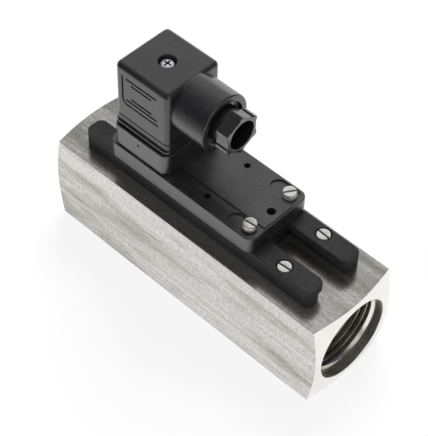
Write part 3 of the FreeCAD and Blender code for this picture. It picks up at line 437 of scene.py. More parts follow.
BODY_STEEL = BrushedSteel("brushed_bar_steel", "body_steel")
FACED_STEEL = BrushedSteel(
    "faced_end_steel", "body_steel", (0.77, 0.745, 0.72), (0.86, 0.84, 0.815), (0.2, 0.3),
    streaks=(900.0, 200.0, 200.0), scratches=(300.0, 60.0, 60.0), scratch=grey(0.98),
    stain_and_shade=(0.95, 0.95, 0.93), stain_and_shade_zones=(), stretch=0.0, metallic=1.0)
BORE_STEEL = PlainMetal(
    "bored_port_steel", "body_steel", (0.66, 0.61, 0.55), (0.54, 0.50, 0.45), (0.24, 0.32),
    marks=(1800.0, 40.0, 40.0), patches=(900.0, 60.0, 60.0), metallic=0.85)
THREAD_STEEL = PlainMetal(
    "cut_thread_steel", "body_steel", (0.64, 0.61, 0.57), (0.5, 0.475, 0.44), (0.18, 0.26),
    marks=(900.0, 60.0, 60.0), patches=(900.0, 60.0, 60.0))
INSERT_STEEL = PlainMetal(
    "turned_insert_steel", "insert_steel", (0.66, 0.65, 0.63), (0.52, 0.51, 0.49), (0.2, 0.34))
SPRING_STEEL = PlainMetal(
    "spring_wire_steel", "spring_steel", (0.55, 0.55, 0.56), (0.4, 0.4, 0.41), (0.2, 0.3))
NICKEL = PlainMetal(
    "plated_screw_nickel", "nickel", (0.95, 0.92, 0.87), (0.82, 0.77, 0.70), (0.26, 0.36),
    metallic=0.68)
ZINC = PlainMetal(
    "plated_screw_zinc", "nickel", (0.93, 0.97, 0.99), (0.78, 0.84, 0.88), (0.24, 0.34),
    metallic=0.6)
# Painted shade for the faces inside screw slots and the centre screw's cross.
SLOT_SHADE = PlainMetal(
    "painted_shade_screw_slot", "nickel", (0.07, 0.065, 0.06), (0.03, 0.028, 0.025), (0.45, 0.6))
BRASS = PlainMetal("turned_brass", "brass", (0.76, 0.60, 0.30), (0.6, 0.45, 0.2), (0.22, 0.34))
MAGNET = Moulding(
    "sintered_magnet", "magnet", (0.09, 0.09, 0.095), (0.05, 0.05, 0.055), (0.4, 0.55),
    grain=1800.0, relief=0.3)
RAIL_BLACK = Moulding(
    "rail_black", "rail_plastic", (0.046, 0.046, 0.048), (0.018, 0.018, 0.019), (0.42, 0.52),
    ior=1.45)
HOUSING_GREY = Moulding(
    "housing_dark_grey", "housing_plastic", (0.046, 0.046, 0.048), grey(0.007), ior=2.02)
PLUG_GREY = Moulding(
    "plug_dark_grey", "plug_plastic", (0.039, 0.039, 0.042), (0.018, 0.018, 0.02), (0.26, 0.32))
NUT_BLACK = Moulding(
    "nut_black", "plug_plastic", grey(0.022), grey(0.014), (0.12, 0.2), relief=0.08, ior=1.9)
BLOCK_GREY = Moulding(
    "terminal_grey", "block_plastic", (0.5, 0.5, 0.47), (0.42, 0.42, 0.4), (0.3, 0.42), ior=1.5)
RUBBER = Moulding("seal_rubber", "rubber", grey(0.016), grey(0.01), (0.6, 0.75), ior=1.5)
GLASS = Glass("reed_glass", "glass")


class Form:
    """A closed mesh under construction, in millimetres."""

    def __init__(self) -> None:
        """Starts an empty mesh."""
        self.bm = bmesh.new()

    @classmethod
    def block(cls, low: Point, high: Point) -> "Form":
        """Box between two corners.

        Args:
            low: Lowest corner.
            high: Highest corner.

        Returns:
            The box.
        """
        form = cls()
        span = [top - bottom for bottom, top in zip(low, high)]
        middle = [(top + bottom) / 2 for bottom, top in zip(low, high)]
        place = Matrix.Translation(middle) @ Matrix.Diagonal((*span, 1.0))
        bmesh.ops.create_cube(form.bm, size=1.0, matrix=place)
        return form

    @classmethod
    def post(cls, middle: Pair, half: Pair, low: float, high: float) -> "Form":
        """Upright box round a point.

        Args:
            middle: Place of its middle along X and Y.
            half: Half its size along X and Y.
            low: Lower face.
            high: Upper face.

        Returns:
            The box.
        """
        (x, y), (wide, deep) = middle, half
        return cls.block((x - wide, y - deep, low), (x + wide, y + deep, high))

    @classmethod
    def ball(cls, centre: Point, radius: float) -> "Form":
        """Ball round a point.

        Args:
            centre: Its middle.
            radius: Its radius.

        Returns:
            The ball.
        """
        form = cls()
        place = Matrix.Translation(centre)
        bmesh.ops.create_icosphere(form.bm, subdivisions=3, radius=radius, matrix=place)
        return form

    @classmethod
    def turned(cls, profile: Profile, axis: Axis, centre: Point, steps: int = 96) -> "Form":
        """Shape turned on a lathe from a closed outline, or one that starts and ends on the axis.

        Args:
            profile: Pairs of place along the axis and radius.
            axis: Axis of the lathe, X or Z.
            centre: Point on the axis where the profile's zero lies.
            steps: Facets round the axis.

        Returns:
            The turned shape.
        """
        form = cls()
        along, out = Vector((1, 0, 0)), Vector((0, 0, 1))
        if axis is Axis.Z:
            along, out = out, along
        middle = Vector(centre)
        points = [form.bm.verts.new(middle + along * place + out * radius)
                  for place, radius in profile]
        pairs = list(zip(points, points[1:]))
        if profile[0][1] or profile[-1][1]:
            pairs.append((points[-1], points[0]))
        edges = [form.bm.edges.new(pair) for pair in pairs]
        bmesh.ops.spin(form.bm, geom=points + edges, cent=middle, axis=along, angle=math.tau,
                       steps=steps, use_merge=True)
        return form.tidied()

    @classmethod
    def coil(cls, section: Profile, start: Point, pitch: float, turns: float,
             steps: int) -> "Form":
        """Closed section wound along X.

        Args:
            section: Pairs of place along X and radius.
            start: Point on the axis where the coil begins.
            pitch: Advance of one turn.
            turns: Number of turns.
            steps: Facets in one turn.

        Returns:
            The coil with closed ends.
        """
        form = cls()
        middle = Vector(start)
        points = [form.bm.verts.new(middle + Vector((place, 0, radius)))
                  for place, radius in section]
        edges = [form.bm.edges.new(pair) for pair in zip(points, points[1:] + points[:1])]
        first = bmesh.ops.contextual_create(form.bm, geom=edges)["faces"]
        bmesh.ops.spin(form.bm, geom=points + edges + first, cent=middle, axis=(1, 0, 0),
                       dvec=(pitch / steps, 0, 0), angle=math.tau * turns,
                       steps=round(steps * turns))
        return form.tidied()

    @classmethod
    def prism(cls, outline: Iterable[Point], depth: Point) -> "Form":
        """Flat outline drawn out along a vector.

        Args:
            outline: Corners in order.
            depth: Vector of the extrusion.

        Returns:
            The prism.
        """
        form = cls()
        face = form.bm.faces.new([form.bm.verts.new(corner) for corner in outline])
        drawn = bmesh.ops.extrude_face_region(form.bm, geom=[face])["geom"]
        moved = [item for item in drawn if isinstance(item, bmesh.types.BMVert)]
        bmesh.ops.translate(form.bm, verts=moved, vec=depth)
        return form.tidied()

    @classmethod
    def of_node(cls, node: str) -> "Form":
        """Merged copy of a CAD node.

        Args:
            node: Name of the node.

        Returns:
            Copy in millimetres.
        """
        form = cls()
        form.bm.from_mesh(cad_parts[node].data)
        bmesh.ops.scale(form.bm, vec=(1 / MM,) * 3, verts=form.bm.verts)
        bmesh.ops.remove_doubles(form.bm, verts=form.bm.verts, dist=CAD_MERGE)
        return form

    def tidied(self) -> "Form":
        """Merges doubles and turns the faces outwards.

        Returns:
            This form.
        """
        bmesh.ops.remove_doubles(self.bm, verts=self.bm.verts, dist=MERGE)
        bmesh.ops.recalc_face_normals(self.bm, faces=self.bm.faces)
        return self

    def turn(self, angle: float, axis: Axis, centre: Point) -> "Form":
        """Rotates the form about an axis.

        Args:
            angle: Degrees.
            axis: Axis of the turn.
            centre: Point that stays.

        Returns:
            This form.
        """
        matrix = Matrix.Rotation(math.radians(angle), 3, axis.value)
        bmesh.ops.rotate(self.bm, verts=self.bm.verts, cent=centre, matrix=matrix)
        return self

    def soften(self, width: float, segments: int = 2, where: Test | None = None,
               angle: float = 30.0) -> "Form":
        """Rounds sharp edges.

        Args:
            width: Reach of the rounding.
            segments: Facets across it.
            where: Test on an edge's two ends, all edges if left out.
            angle: Smallest angle, in degrees, that counts as sharp.

        Returns:
            This form.
        """
        limit = math.radians(angle)
        chosen = [edge for edge in self.bm.edges
                  if edge.is_manifold and edge.calc_face_angle(0.0) > limit
                  and (where is None or where(edge.verts[0].co, edge.verts[1].co))]
        bmesh.ops.bevel(self.bm, geom=chosen, offset=width, offset_type="OFFSET",
                        segments=segments, profile=0.5, affect="EDGES", material=-1,
                        clamp_overlap=True)
        return self

    def mesh(self, name: str) -> bpy.types.Mesh:
        """Copies the form into a Blender mesh.

        Args:
            name: Name of the mesh.

        Returns:
            The new mesh.
        """
        made = bpy.data.meshes.new(name)
        self.bm.to_mesh(made)
        return made

    def join(self, *others: "Form") -> "Form":
        """Adds other closed shells to this form.

        Args:
            *others: Forms to take in.

        Returns:
            This form.
        """
        for other in others:
            loose = other.mesh("loose")
            self.bm.from_mesh(loose)
            bpy.data.meshes.remove(loose)
        return self

    def carve(self, *tools: "Form", how: Cut = Cut.AWAY) -> "Form":
        """Cuts other forms out of this one, or unites or intersects it with them.

        Args:
            *tools: The other forms.
            how: What happens to their volume.

        Returns:
            This form.
        """
        target = placed("target", self.mesh("target"))
        other = placed("tools", Form().join(*tools).mesh("tools"))
        step = target.modifiers.new("step", "BOOLEAN")
        step.operation, step.solver, step.object = how.value, "EXACT", other
        step.use_self = True
        graph = bpy.context.evaluated_depsgraph_get()
        result = bpy.data.meshes.new_from_object(target.evaluated_get(graph))
        self.bm.clear()
        self.bm.from_mesh(result)
        for item in (target, other):
            mesh = item.data
            bpy.data.objects.remove(item)
            bpy.data.meshes.remove(mesh)
        bpy.data.meshes.remove(result)
        return self.tidied()

    def finish(self, name: str, finish: Finish, body: Body, nodes: Sequence[str] = (),
               smooth: float = 32.0,
               accents: Sequence[tuple[Finish, Test]] = ()) -> bpy.types.Object:
        """Makes the Blender object.

        Args:
            name: Name of the piece.
            finish: Its surface.
            body: CAD body it rides on.
            nodes: CAD nodes it stands for.
            smooth: Angle, in degrees, above which an edge stays sharp.
            accents: Other finishes, each with a test on a face's middle and normal.

        Returns:
            The finished object.
        """
        self.bm.normal_update()
        for index, (_, test) in enumerate(accents, 1):
            for face in self.bm.faces:
                if test(face.calc_center_median(), face.normal):
                    face.material_index = index
        bmesh.ops.scale(self.bm, vec=(MM,) * 3, verts=self.bm.verts)
        mesh = self.mesh(name)
        self.bm.free()
        mesh.shade_smooth()
        mesh.set_sharp_from_angle(angle=math.radians(smooth))
        for surface in (finish, *(accent for accent, _ in accents)):
            mesh.materials.append(surface.material())
        piece = placed(name, mesh)
        even = piece.modifiers.new("even_normals", "WEIGHTED_NORMAL")
        even.keep_sharp = True
        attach(piece, body.value)
        if nodes:
            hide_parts(*nodes)
        LOG.info("%s: %d faces", name, len(mesh.polygons))
        return piece


def upright(first: Vector, second: Vector) -> bool:
    """True for an edge along Z."""
    return (first - second).xy.length < ON_LEVEL


def lengthwise(first: Vector, second: Vector) -> bool:
    """True for an edge that runs more than a millimetre along X."""
    return abs(first.x - second.x) > 1.0


def level(height: float) -> Test:
    """Test for edges that lie at one height."""
    return lambda *ends: all(abs(end.z - height) < ON_LEVEL for end in ends)


def beyond(place: float, axis: Axis = Axis.Z) -> Test:
    """Test for edges that lie at a place along an axis or past it."""
    return lambda *ends: min(end[axis.number] for end in ends) > place - CLOSE


def rounded(end: float, radius: float, steps: Profile) -> list[Pair]:
    """Profile of a rim, from steps given as the drop from the end and the inset of the radius."""
    return [(end - drop, radius - inset) for drop, inset in steps]


def cylinder(radius: float, start: float, end: float, axis: Axis, centre: Point,
             steps: int = 48) -> Form:
    """Plain cylinder between two places along an axis, counted from the centre."""
    profile = ((start, 0.0), (start, radius), (end, radius), (end, 0.0))
    return Form.turned(profile, axis, centre, steps)


def slab(low: Point, high: Point, corner: float, edge: float = 0.0, segments: int = 8) -> Form:
    """Block with round upright corners and a softened top.

    Args:
        low: Lowest corner.
        high: Highest corner.
        corner: Radius of the upright corners.
        edge: Radius round the top.
        segments: Facets across a corner.

    Returns:
        The block.
    """
    form = Form.block(low, high).soften(corner, segments, where=upright)
    if edge:
        form.soften(edge, 3, where=level(high[2]))
    return form


def obround(left: float, right: float, y: float, radius: float, low: float, high: float,
            steps: int = 24) -> Form:
    """Slot with round ends along X.

    Args:
        left: Middle of the left end.
        right: Middle of the right end.
        y: Middle line.
        radius: Half its width.
        low: Lower face.
        high: Upper face.
        steps: Facets round one end.

    Returns:
        The slot as a solid.
    """
    arc = [(radius * math.sin(math.pi * step / steps), radius * math.cos(math.pi * step / steps))
           for step in range(steps + 1)]
    near = [(right + out, y - across, low) for out, across in arc]
    far = [(left - out, y + across, low) for out, across in arc]
    return Form.prism(near + far, (0.0, 0.0, high - low))


@dataclass
class MeterBody:
    """Square bar with turned ends and threaded ports.

    The ridge of the thread is given as places along X and heights over the crest's radius.
    """

    length: float = 132.7
    side: float = 40.0
    edge: float = 0.2
    end_edge: float = 0.15
    end_flat: float = 19.0
    flat_margin: float = 0.5
    cone_angle: float = 15.0
    cone_reach: float = 11.0
    faced_depth: float = 8.0
    faced_slope: float = 0.5
    mouth: float = 16.75
    mouth_depth: float = 3.6
    mouth_chamfer: float = 0.3
    thread_major: float = 16.62
    thread_minor: float = 15.4
    thread_pitch: float = 2.309
    thread_offset: float = 1.83
    thread_run: float = 6.75
    thread_turns: float = 7.5
    thread_facets: int = 72
    ridge: Profile = ((0.25, 1.27), (0.84, 0.12), (0.93, 0.03), (1.03, 0.0),
                      (1.27, 0.0), (1.37, 0.03), (1.46, 0.12), (2.05, 1.27))
    lead_length: float = 4.0
    lead_slope: Pair = (0.6, 0.8)
    lead_facets: int = 144
    port_depth: float = 22.0
    bore: float = 15.0
    facets: int = 192

    @property
    def thread_end(self) -> float:
        """Place along X where the outlet's thread meets its plain mouth."""
        return self.length / 2 - self.mouth_depth

    def away(self, point: Vector) -> float:
        """Distance of a point from the bore's axis."""
        return math.hypot(point.y, point.z - self.side / 2)

    def outer(self, first: Vector, second: Vector) -> bool:
        """True for an edge outside the flat ring of an end."""
        return min(self.away(first), self.away(second)) > self.end_flat + self.flat_margin

    def faced(self, middle: Vector, normal: Vector) -> bool:
        """Tells whether a face is a turned one at an end.

        Args:
            middle: Middle of the face.
            normal: Its normal.

        Returns:
            True for a turned face.
        """
        near_end = abs(middle.x) > self.length / 2 - self.faced_depth
        across = abs(normal.x) > self.faced_slope
        return near_end and across and self.away(middle) > self.thread_minor - SLACK

    def bored(self, middle: Vector, normal: Vector) -> bool:
        """True for a face in a port or in the bore."""
        return self.away(middle) < self.mouth + SLACK and not self.faced(middle, normal)

    def coned(self, middle: Vector, normal: Vector) -> bool:
        """True for a face of the thread on the cone that leads into it."""
        lead = self.thread_end - (self.mouth - self.thread_minor) - SLACK
        return abs(middle.x) > lead and self.lead_slope[0] < abs(normal.x) < self.lead_slope[1]

    def half_profile(self) -> list[Pair]:
        """Outline of one end, from the middle of the bore round to the outside.

        Returns:
            Pairs of place along X and radius, for the outlet end.
        """
        face = self.length / 2
        run = self.cone_reach * math.tan(math.radians(self.cone_angle))
        third = self.mouth_chamfer / 3
        return [
            (face - self.port_depth, self.bore),
            (face - self.port_depth, self.thread_major),
            (self.thread_end, self.thread_major),
            (self.thread_end, self.mouth),
            (face - self.mouth_chamfer, self.mouth),
            (face - third, self.mouth + third),
            (face, self.mouth + self.mouth_chamfer),
            (face, self.end_flat),
            (face - run, self.end_flat + self.cone_reach),
        ]

    def bar(self) -> None:
        """Builds the bar."""
        half = self.half_profile()
        outline = half + [(-place, radius) for place, radius in reversed(half)]
        turned = Form.turned(outline, Axis.X, (0.0, 0.0, self.side / 2), self.facets)
        square = Form.post((0.0, 0.0), (self.length, self.side / 2), 0.0, self.side)
        turned.carve(square.soften(self.edge, 3, where=lengthwise), how=Cut.SHARED)
        turned.soften(self.end_edge, where=self.outer, angle=25.0)
        turned.finish("bar_body", BODY_STEEL, Body.METER, ["meter_body"], smooth=24.0,
                      accents=[(FACED_STEEL, self.faced), (BORE_STEEL, self.bored)])

    def thread(self) -> Form:
        """Ridge of the outlet thread, cut back by the cone that leads into it.

        Returns:
            The ridge's shape.
        """
        crest, end, height = self.thread_minor, self.thread_end, self.side / 2
        section = [(place, crest + rise) for place, rise in self.ridge]
        start = end - self.thread_offset - self.thread_run * self.thread_pitch
        ridge = Form.coil(section, (start, 0.0, height), self.thread_pitch, self.thread_turns,
                          self.thread_facets)
        back, front = end - (self.mouth - crest) - OVERLAP, end + self.lead_length
        cone = ((back, 0.0), (back, crest - OVERLAP), (end + SLACK, self.mouth + SLACK),
                (front, self.mouth + SLACK), (front, 0.0))
        return ridge.carve(Form.turned(cone, Axis.X, (0.0, 0.0, height), self.lead_facets))

    def threads(self) -> None:
        """Builds the ridges of both port threads."""
        both = self.thread().join(self.thread().turn(180.0, Axis.Z, (0.0, 0.0, 0.0)))
        both.finish("port_threads", THREAD_STEEL, Body.METER, smooth=50.0,
                    accents=[(FACED_STEEL, self.coned)])

    def build(self) -> None:
        """Builds the bar and its threads."""
        self.bar()
        self.threads()


@dataclass
class CheeseScrew:
    """Slotted cheese-head screw that stands upright."""

    x: float
    y: float
    seat: float
    length: float
    slot_turn: float
    head: float = 2.75
    height: float = 2.0
    crown: Profile = ((0.32, 0.0), (0.14, 0.06), (0.03, 0.22), (0.0, 0.5))
    dome: float = 0.04
    under_edge: float = 0.08
    shank: float = 1.5
    tip: float = 0.3
    slot_width: float = 0.8
    slot_depth: float = 0.9
    slot_edge: float = 0.07
    slot_margin: float = 0.1
    facets: int = 64

    def in_slot(self, middle: Vector) -> bool:
        """Tells whether a face lies inside the slot.

        Args:
            middle: Middle of the face.

        Returns:
            True inside the slot.
        """
        away = math.hypot(middle.x - self.x, middle.y - self.y)
        drop = self.seat + self.height - middle.z
        deep = self.slot_edge + CLOSE < drop < self.slot_depth + CLOSE
        return deep and away < self.head - self.slot_margin

    def form(self) -> Form:
        """Builds the screw.

        Returns:
            The screw's shape.
        """
        centre, end = (self.x, self.y, self.seat), -self.length
        profile = ((end, 0.0), (end, self.shank - self.tip), (end + self.tip, self.shank),
                   (0.0, self.shank), (0.0, self.head - self.under_edge),
                   (self.under_edge, self.head), *rounded(self.height, self.head, self.crown),
                   (self.height + self.dome, 0.0))
        screw = Form.turned(profile, Axis.Z, centre, self.facets)
        floor = self.seat + self.height - self.slot_depth
        slot = Form.post((self.x, self.y), (self.head + PAST, self.slot_width / 2), floor,
                         floor + TALL)
        screw.carve(slot.turn(self.slot_turn, Axis.Z, centre))
        return screw.soften(self.slot_edge, where=beyond(floor), angle=40.0)


def screw_set(name: str, screws: Sequence[CheeseScrew], body: Body, node: str) -> None:
    """Builds several screws as one piece, with painted shade in the slots.

    Args:
        name: Name of the piece.
        screws: The screws.
        body: CAD body they ride on.
        node: CAD node they stand for.
    """
    # Faces inside the slots get painted shade.
    slotted = (SLOT_SHADE, lambda middle, _: any(screw.in_slot(middle) for screw in screws))
    joined = Form().join(*[screw.form() for screw in screws])
    joined.finish(name, NICKEL, body, [node], accents=[slotted])


@dataclass
class GuideRails:
    """Two undercut rails and their screws."""

    length: float = 111.7
    inner: float = 5.3
    outer: float = 14.0
    base: float = 40.0
    top: float = 48.0
    tip: float = 3.0
    tip_facets: int = 10
    edge: float = 0.35
    undercut: float = 7.1
    undercut_top: float = 45.0
    undercut_past: Pair = (5.0, 2.0)
    screw_xs: Pair = (41.0, -38.5)
    screw_y: float = 10.25
    screw_length: float = 11.25
    recess: float = 3.1
    recess_depth: float = 2.05
    recess_edge: float = 0.12
    hole: float = 1.7
    hole_depth: float = 9.0
    hole_facets: int = 48
    slot_turns: tuple[float, ...] = (-3.0, 5.0, 71.0, 112.0)

    def rail(self, name: str, node: str, side: int) -> None:
        """Builds one rail.

        Args:
            name: Name of the piece.
            node: CAD node it stands for.
            side: 1 for the rear rail, -1 for the front one.
        """
        half = self.length / 2
        past_end, past_side = self.undercut_past
        near, far = sorted((side * self.inner, side * self.outer))
        rail = slab((-half, near, self.base), (half, far, self.top), self.tip, self.edge,
                    self.tip_facets)
        near, far = sorted((side * (self.inner - past_side), side * (self.undercut + self.tip)))
        space = Form.block((-half - past_end, near, self.base - past_side),
                           (half + past_end, far, self.undercut_top))
        near, far = sorted((side * self.undercut, side * (self.outer + self.tip)))
        stem = slab((-half, near, self.base - 2 * past_side), (half, far, self.top), self.tip,
                    segments=self.tip_facets)
        floor = -self.recess_depth
        hole = ((-self.hole_depth, 0.0), (-self.hole_depth, self.hole), (floor, self.hole),
                (floor, self.recess), (PAST, self.recess), (PAST, 0.0))
        holes = [Form.turned(hole, Axis.Z, (x, side * self.screw_y, self.top), self.hole_facets)
                 for x in self.screw_xs]
        rail.carve(space.carve(stem), *holes)
        rail.soften(self.recess_edge, where=beyond(self.top), angle=50.0)
        rail.finish(name, RAIL_BLACK, Body.METER, [node])

    def screws(self) -> None:
        """Builds the four rail screws."""
        places = [(x, y) for x in self.screw_xs for y in (self.screw_y, -self.screw_y)]
        screws = [CheeseScrew(x, y, self.top - self.recess_depth, self.screw_length, turn)
                  for (x, y), turn in zip(places, self.slot_turns)]
        screw_set("rail_screw_set", screws, Body.METER, "rail_screws")

    def build(self) -> None:
        """Builds the rails and their screws."""
        self.rail("front_rail", "front_guide_rail", -1)
        self.rail("rear_rail", "rear_guide_rail", 1)
        self.screws()


@dataclass
class SwitchHead:
    """Moulded slab with pedestal and foot, and its clamp screws.

    The pin holes are given by place along X and Y and radius, the fill hole by place along X and
    radius, the dimple by place along X and Z and radius.
    """

    rail_top: float = 48.0
    gap: float = 0.15
    left: float = -41.3
    right: float = 29.2
    half: float = 15.3
    top: float = 55.0
    corner: float = 3.5
    corner_facets: int = 10
    edge: float = 0.45
    panel_half: float = 7.4
    panel_rise: float = 0.5
    panel_inset: float = 0.7
    panel_corner: float = 0.5
    panel_edge: float = 0.12
    pedestal: Pair = (-39.4, -12.5)
    pedestal_half: float = 14.6
    pedestal_top: float = 64.5
    pedestal_corner: float = 3.2
    pedestal_edge: float = 0.3
    base_line: float = 0.45
    neck: float = 5.0
    foot: float = 6.8
    foot_bottom: float = 40.4
    foot_shoulder: float = 44.85
    foot_inset: float = 1.0
    foot_edge: float = 0.2
    clamp_x: float = 24.3
    clamp_y: float = 10.3
    clamp_seat: float = 55.3
    clamp_length: float = 7.2
    clamp_turns: Pair = (57.0, 8.0)
    recess_left: float = 18.5
    recess_y: float = 11.1
    recess: float = 3.2
    recess_depth: float = 0.7
    recess_edge: float = 0.1
    bush: float = 2.22
    bush_depth: float = 8.0
    pin_hole: Point = (3.9, 10.35, 1.2)
    pin_depth: float = 3.0
    fill_hole: Pair = (25.0, 1.7)
    fill_depth: float = 4.0
    dimple: Point = (-26.3, 61.4, 0.55)

    def fill(self) -> Form:
        """Tool for the fill hole."""
        centre = (self.fill_hole[0], 0.0, self.top + self.panel_rise)
        return cylinder(self.fill_hole[1], -self.fill_depth, PAST, Axis.Z, centre)

    def plate(self) -> Form:
        """Slab with its recesses and holes.

        Returns:
            The slab's shape.
        """
        plate = slab((self.left, -self.half, self.rail_top + self.gap),
                     (self.right, self.half, self.top), self.corner, self.edge,
                     self.corner_facets)
        x, y, radius = self.pin_hole
        tools = []
        for side in (-1, 1):
            clamp = (self.clamp_x, side * self.clamp_y, self.top)
            tools += [
                obround(self.recess_left, self.clamp_x, side * self.recess_y, self.recess,
                        self.top - self.recess_depth, self.top + 2 * PAST),
                cylinder(self.bush, -self.bush_depth, 0.0, Axis.Z, clamp),
                cylinder(radius, -self.pin_depth, PAST, Axis.Z, (x, side * y, self.top)),
            ]
        plate.carve(*tools)
        plate.soften(self.recess_edge, where=beyond(self.top), angle=50.0)
        return plate.carve(self.fill())

    def panel(self) -> Form:
        """Raised panel on the slab.

        Returns:
            The panel's shape.
        """
        top = self.top + self.panel_rise
        panel = Form.block((self.pedestal[1] - PAST, -self.panel_half, self.top - OVERLAP),
                           (self.right - self.panel_inset, self.panel_half, top))
        panel.soften(self.panel_corner, 4, where=upright)
        return panel.soften(self.panel_edge, where=level(top)).carve(self.fill())

    def column(self) -> Form:
        """Pedestal over a fine line at its base.

        Returns:
            The pedestal's shape.
        """
        (left, right), half, inset = self.pedestal, self.pedestal_half, self.base_line
        column = slab((left, -half, self.top + inset), (right, half, self.pedestal_top),
                      self.pedestal_corner, self.pedestal_edge, self.corner_facets)
        column.join(slab((left + inset, inset - half, self.top - OVERLAP),
                         (right - inset, half - inset, self.top + PAST),
                         self.pedestal_corner, segments=self.corner_facets))
        x, z, radius = self.dimple
        return column.carve(Form.ball((x, -half, z), radius))

    def slider(self) -> Form:
        """Neck and foot that run in the rails.

        Returns:
            Their shape.
        """
        start, end = self.left + self.foot_inset, self.right - self.foot_inset
        neck = Form.block((start, -self.neck, self.foot_shoulder - OVERLAP),
                          (end, self.neck, self.rail_top + PAST))
        flange = Form.block((start, -self.foot, self.foot_bottom),
                            (end, self.foot, self.foot_shoulder))
        return neck.join(flange.soften(self.foot_edge))

    def screws(self) -> None:
        """Builds the two clamp screws."""
        screws = [CheeseScrew(self.clamp_x, side * self.clamp_y, self.clamp_seat,
                              self.clamp_length, turn)
                  for side, turn in zip((1, -1), self.clamp_turns)]
        screw_set("clamp_screw_set", screws, Body.HEAD, "clamp_screws")

    def build(self) -> None:
        """Builds the housing and its clamp screws."""
        housing = self.plate().join(self.panel(), self.column(), self.slider())
        housing.finish("head_housing", HOUSING_GREY, Body.HEAD, ["switch_housing"])
        self.screws()


@dataclass
class PlugConnector:
    """Square plug with its gland boss, seal and centre screw.

    An engraved line has a height and half a length. The screw's outline is given from its seat.
    """

    x: float = -26.0
    half: float = 13.0
    corner: float = 2.2
    corner_facets: int = 10
    foot: float = 65.15
    skirt_top: float = 66.2
    skirt_edge: float = 0.15
    skirt_proud: Pair = (0.35, 0.7)
    skirt_lap: float = 0.2
    seal_half: float = 12.6
    seal_hole: float = 11.6
    seal_base: float = 64.5
    seal_top: float = 65.6
    seal_edge: float = 0.12
    seam: float = 69.1
    seam_width: float = 0.5
    seam_depth: float = 0.5
    seam_edge: float = 0.1
    top: float = 93.3
    top_edge: float = 2.0
    large_edge: float = 1.0
    large_facets: int = 8
    recess: float = 3.4
    recess_depth: float = 2.6
    recess_edge: float = 0.15
    gland_z: float = 82.5
    boss: float = 11.25
    boss_end: float = 1.8
    boss_rim: Profile = ((0.8, 0.0), (0.5, 0.06), (0.24, 0.24), (0.06, 0.5), (0.0, 0.8))
    boss_mouth: float = 8.6
    boss_mouth_depth: float = 1.5
    boss_mouth_edge: float = 0.2
    boss_facets: int = 112
    gland_thread: float = 7.6
    seat: float = -13.3
    cable_hole: float = 5.0
    line_depth: float = 0.6
    line_width: float = 0.85
    lines: Profile = ((88.4, 7.5), (86.55, 5.0), (80.0, 5.1), (78.3, 7.6))
    frame_left: float = -9.2
    frame_right: float = 8.2
    frame_low: float = 76.15
    frame_high: float = 89.0
    frame_corner: float = 2.2
    screw_outline: Profile = ((-30.7, 0.0), (-30.7, 1.5), (0.0, 1.5), (0.0, 2.45), (0.05, 2.5),
                              (0.9, 2.5), (1.25, 2.3), (1.5, 1.8), (1.6, 1.2), (1.65, 0.0))
    screw_facets: int = 64
    cross: Pair = (1.6, 0.36)
    cross_floor: float = 0.8
    cross_top: float = 1.5
    cross_turn: float = 3.0

    def wall(self, low: float, high: float, lower_edge: float, upper_edge: float,
             proud: Pair = (0.0, 0.0)) -> Form:
        """One storey of the plug's square wall.

        Args:
            low: Lower face.
            high: Upper face.
            lower_edge: Rounding at the bottom.
            upper_edge: Rounding at the top.
            proud: Reach past the plug's sides along X and Y.

        Returns:
            The storey.
        """
        form = Form.post((self.x, 0.0), (self.half + proud[0], self.half + proud[1]), low, high)
        form.soften(self.corner + proud[0], self.corner_facets, where=upright)
        for edge, height in ((upper_edge, high), (lower_edge, low)):
            if edge:
                segments = self.large_facets if edge > self.large_edge else 2
                form.soften(edge, segments, where=level(height))
        return form

    def frame_angle(self, shift: float, past: float) -> Form:
        """Block with one round corner, whose left and lower faces follow the engraved frame.

        Args:
            shift: Distance of these faces inwards from the frame's middle line.
            past: Reach past the frame on the other sides.

        Returns:
            The block.
        """
        left, low, face = self.x + self.frame_left, self.frame_low, -self.half
        form = Form.block((left + shift, face - PAST - past, low + shift),
                          (self.x + self.frame_right + past, face + self.line_depth + past,
                           self.frame_high + past))
        right, top = left + self.line_width, low + self.line_width
        return form.soften(self.frame_corner - shift, 6, where=lambda *ends: all(
            end.x < right and end.z < top for end in ends))

    def engraving(self) -> list[Form]:
        """Plain lines and a part frame, cut in the front wall.

        Returns:
            Tools that cut the lines.
        """
        face, half = -self.half, self.line_width / 2
        lines = [Form.block((self.x - reach, face - PAST, z - half),
                            (self.x + reach, face + self.line_depth, z + half))
                 for z, reach in self.lines]
        return [*lines, self.frame_angle(-half, 0.0).carve(self.frame_angle(half, PAST))]

    def gland_boss(self) -> Form:
        """Round boss that takes the gland.

        Returns:
            The boss's shape.
        """
        rim, lip, mouth = self.boss_end, self.boss_mouth_edge, self.boss_mouth
        deep = rim - self.boss_mouth_depth
        profile = ((self.seat, self.cable_hole), (self.x + self.half - PAST, self.boss),
                   *rounded(rim, self.boss, self.boss_rim), (rim, mouth + lip), (rim - lip, mouth),
                   (deep, mouth), (deep, self.gland_thread), (self.seat, self.gland_thread))
        return Form.turned(profile, Axis.X, (0.0, 0.0, self.gland_z), self.boss_facets)

    def shell(self) -> None:
        """Builds the plug with its boss."""
        half_seam = self.seam_width / 2
        upper = self.wall(self.seam + half_seam, self.top, self.seam_edge, self.top_edge)
        recess = cylinder(self.recess, -self.recess_depth, PAST, Axis.Z, (self.x, 0.0, self.top),
                          self.screw_facets)
        upper.carve(recess, *self.engraving())
        upper.soften(self.recess_edge, where=level(self.top), angle=50.0)
        lower = self.wall(self.skirt_top - self.skirt_lap, self.seam - half_seam, 0.0,
                          self.seam_edge)
        core = self.wall(self.seam - PAST, self.seam + PAST, 0.0, 0.0, (-self.seam_depth,) * 2)
        skirt = self.wall(self.foot, self.skirt_top, self.skirt_edge, self.skirt_edge,
                          self.skirt_proud)
        upper.join(lower, core, skirt, self.gland_boss())
        upper.finish("plug_shell", PLUG_GREY, Body.HEAD, ["connector_shell"])

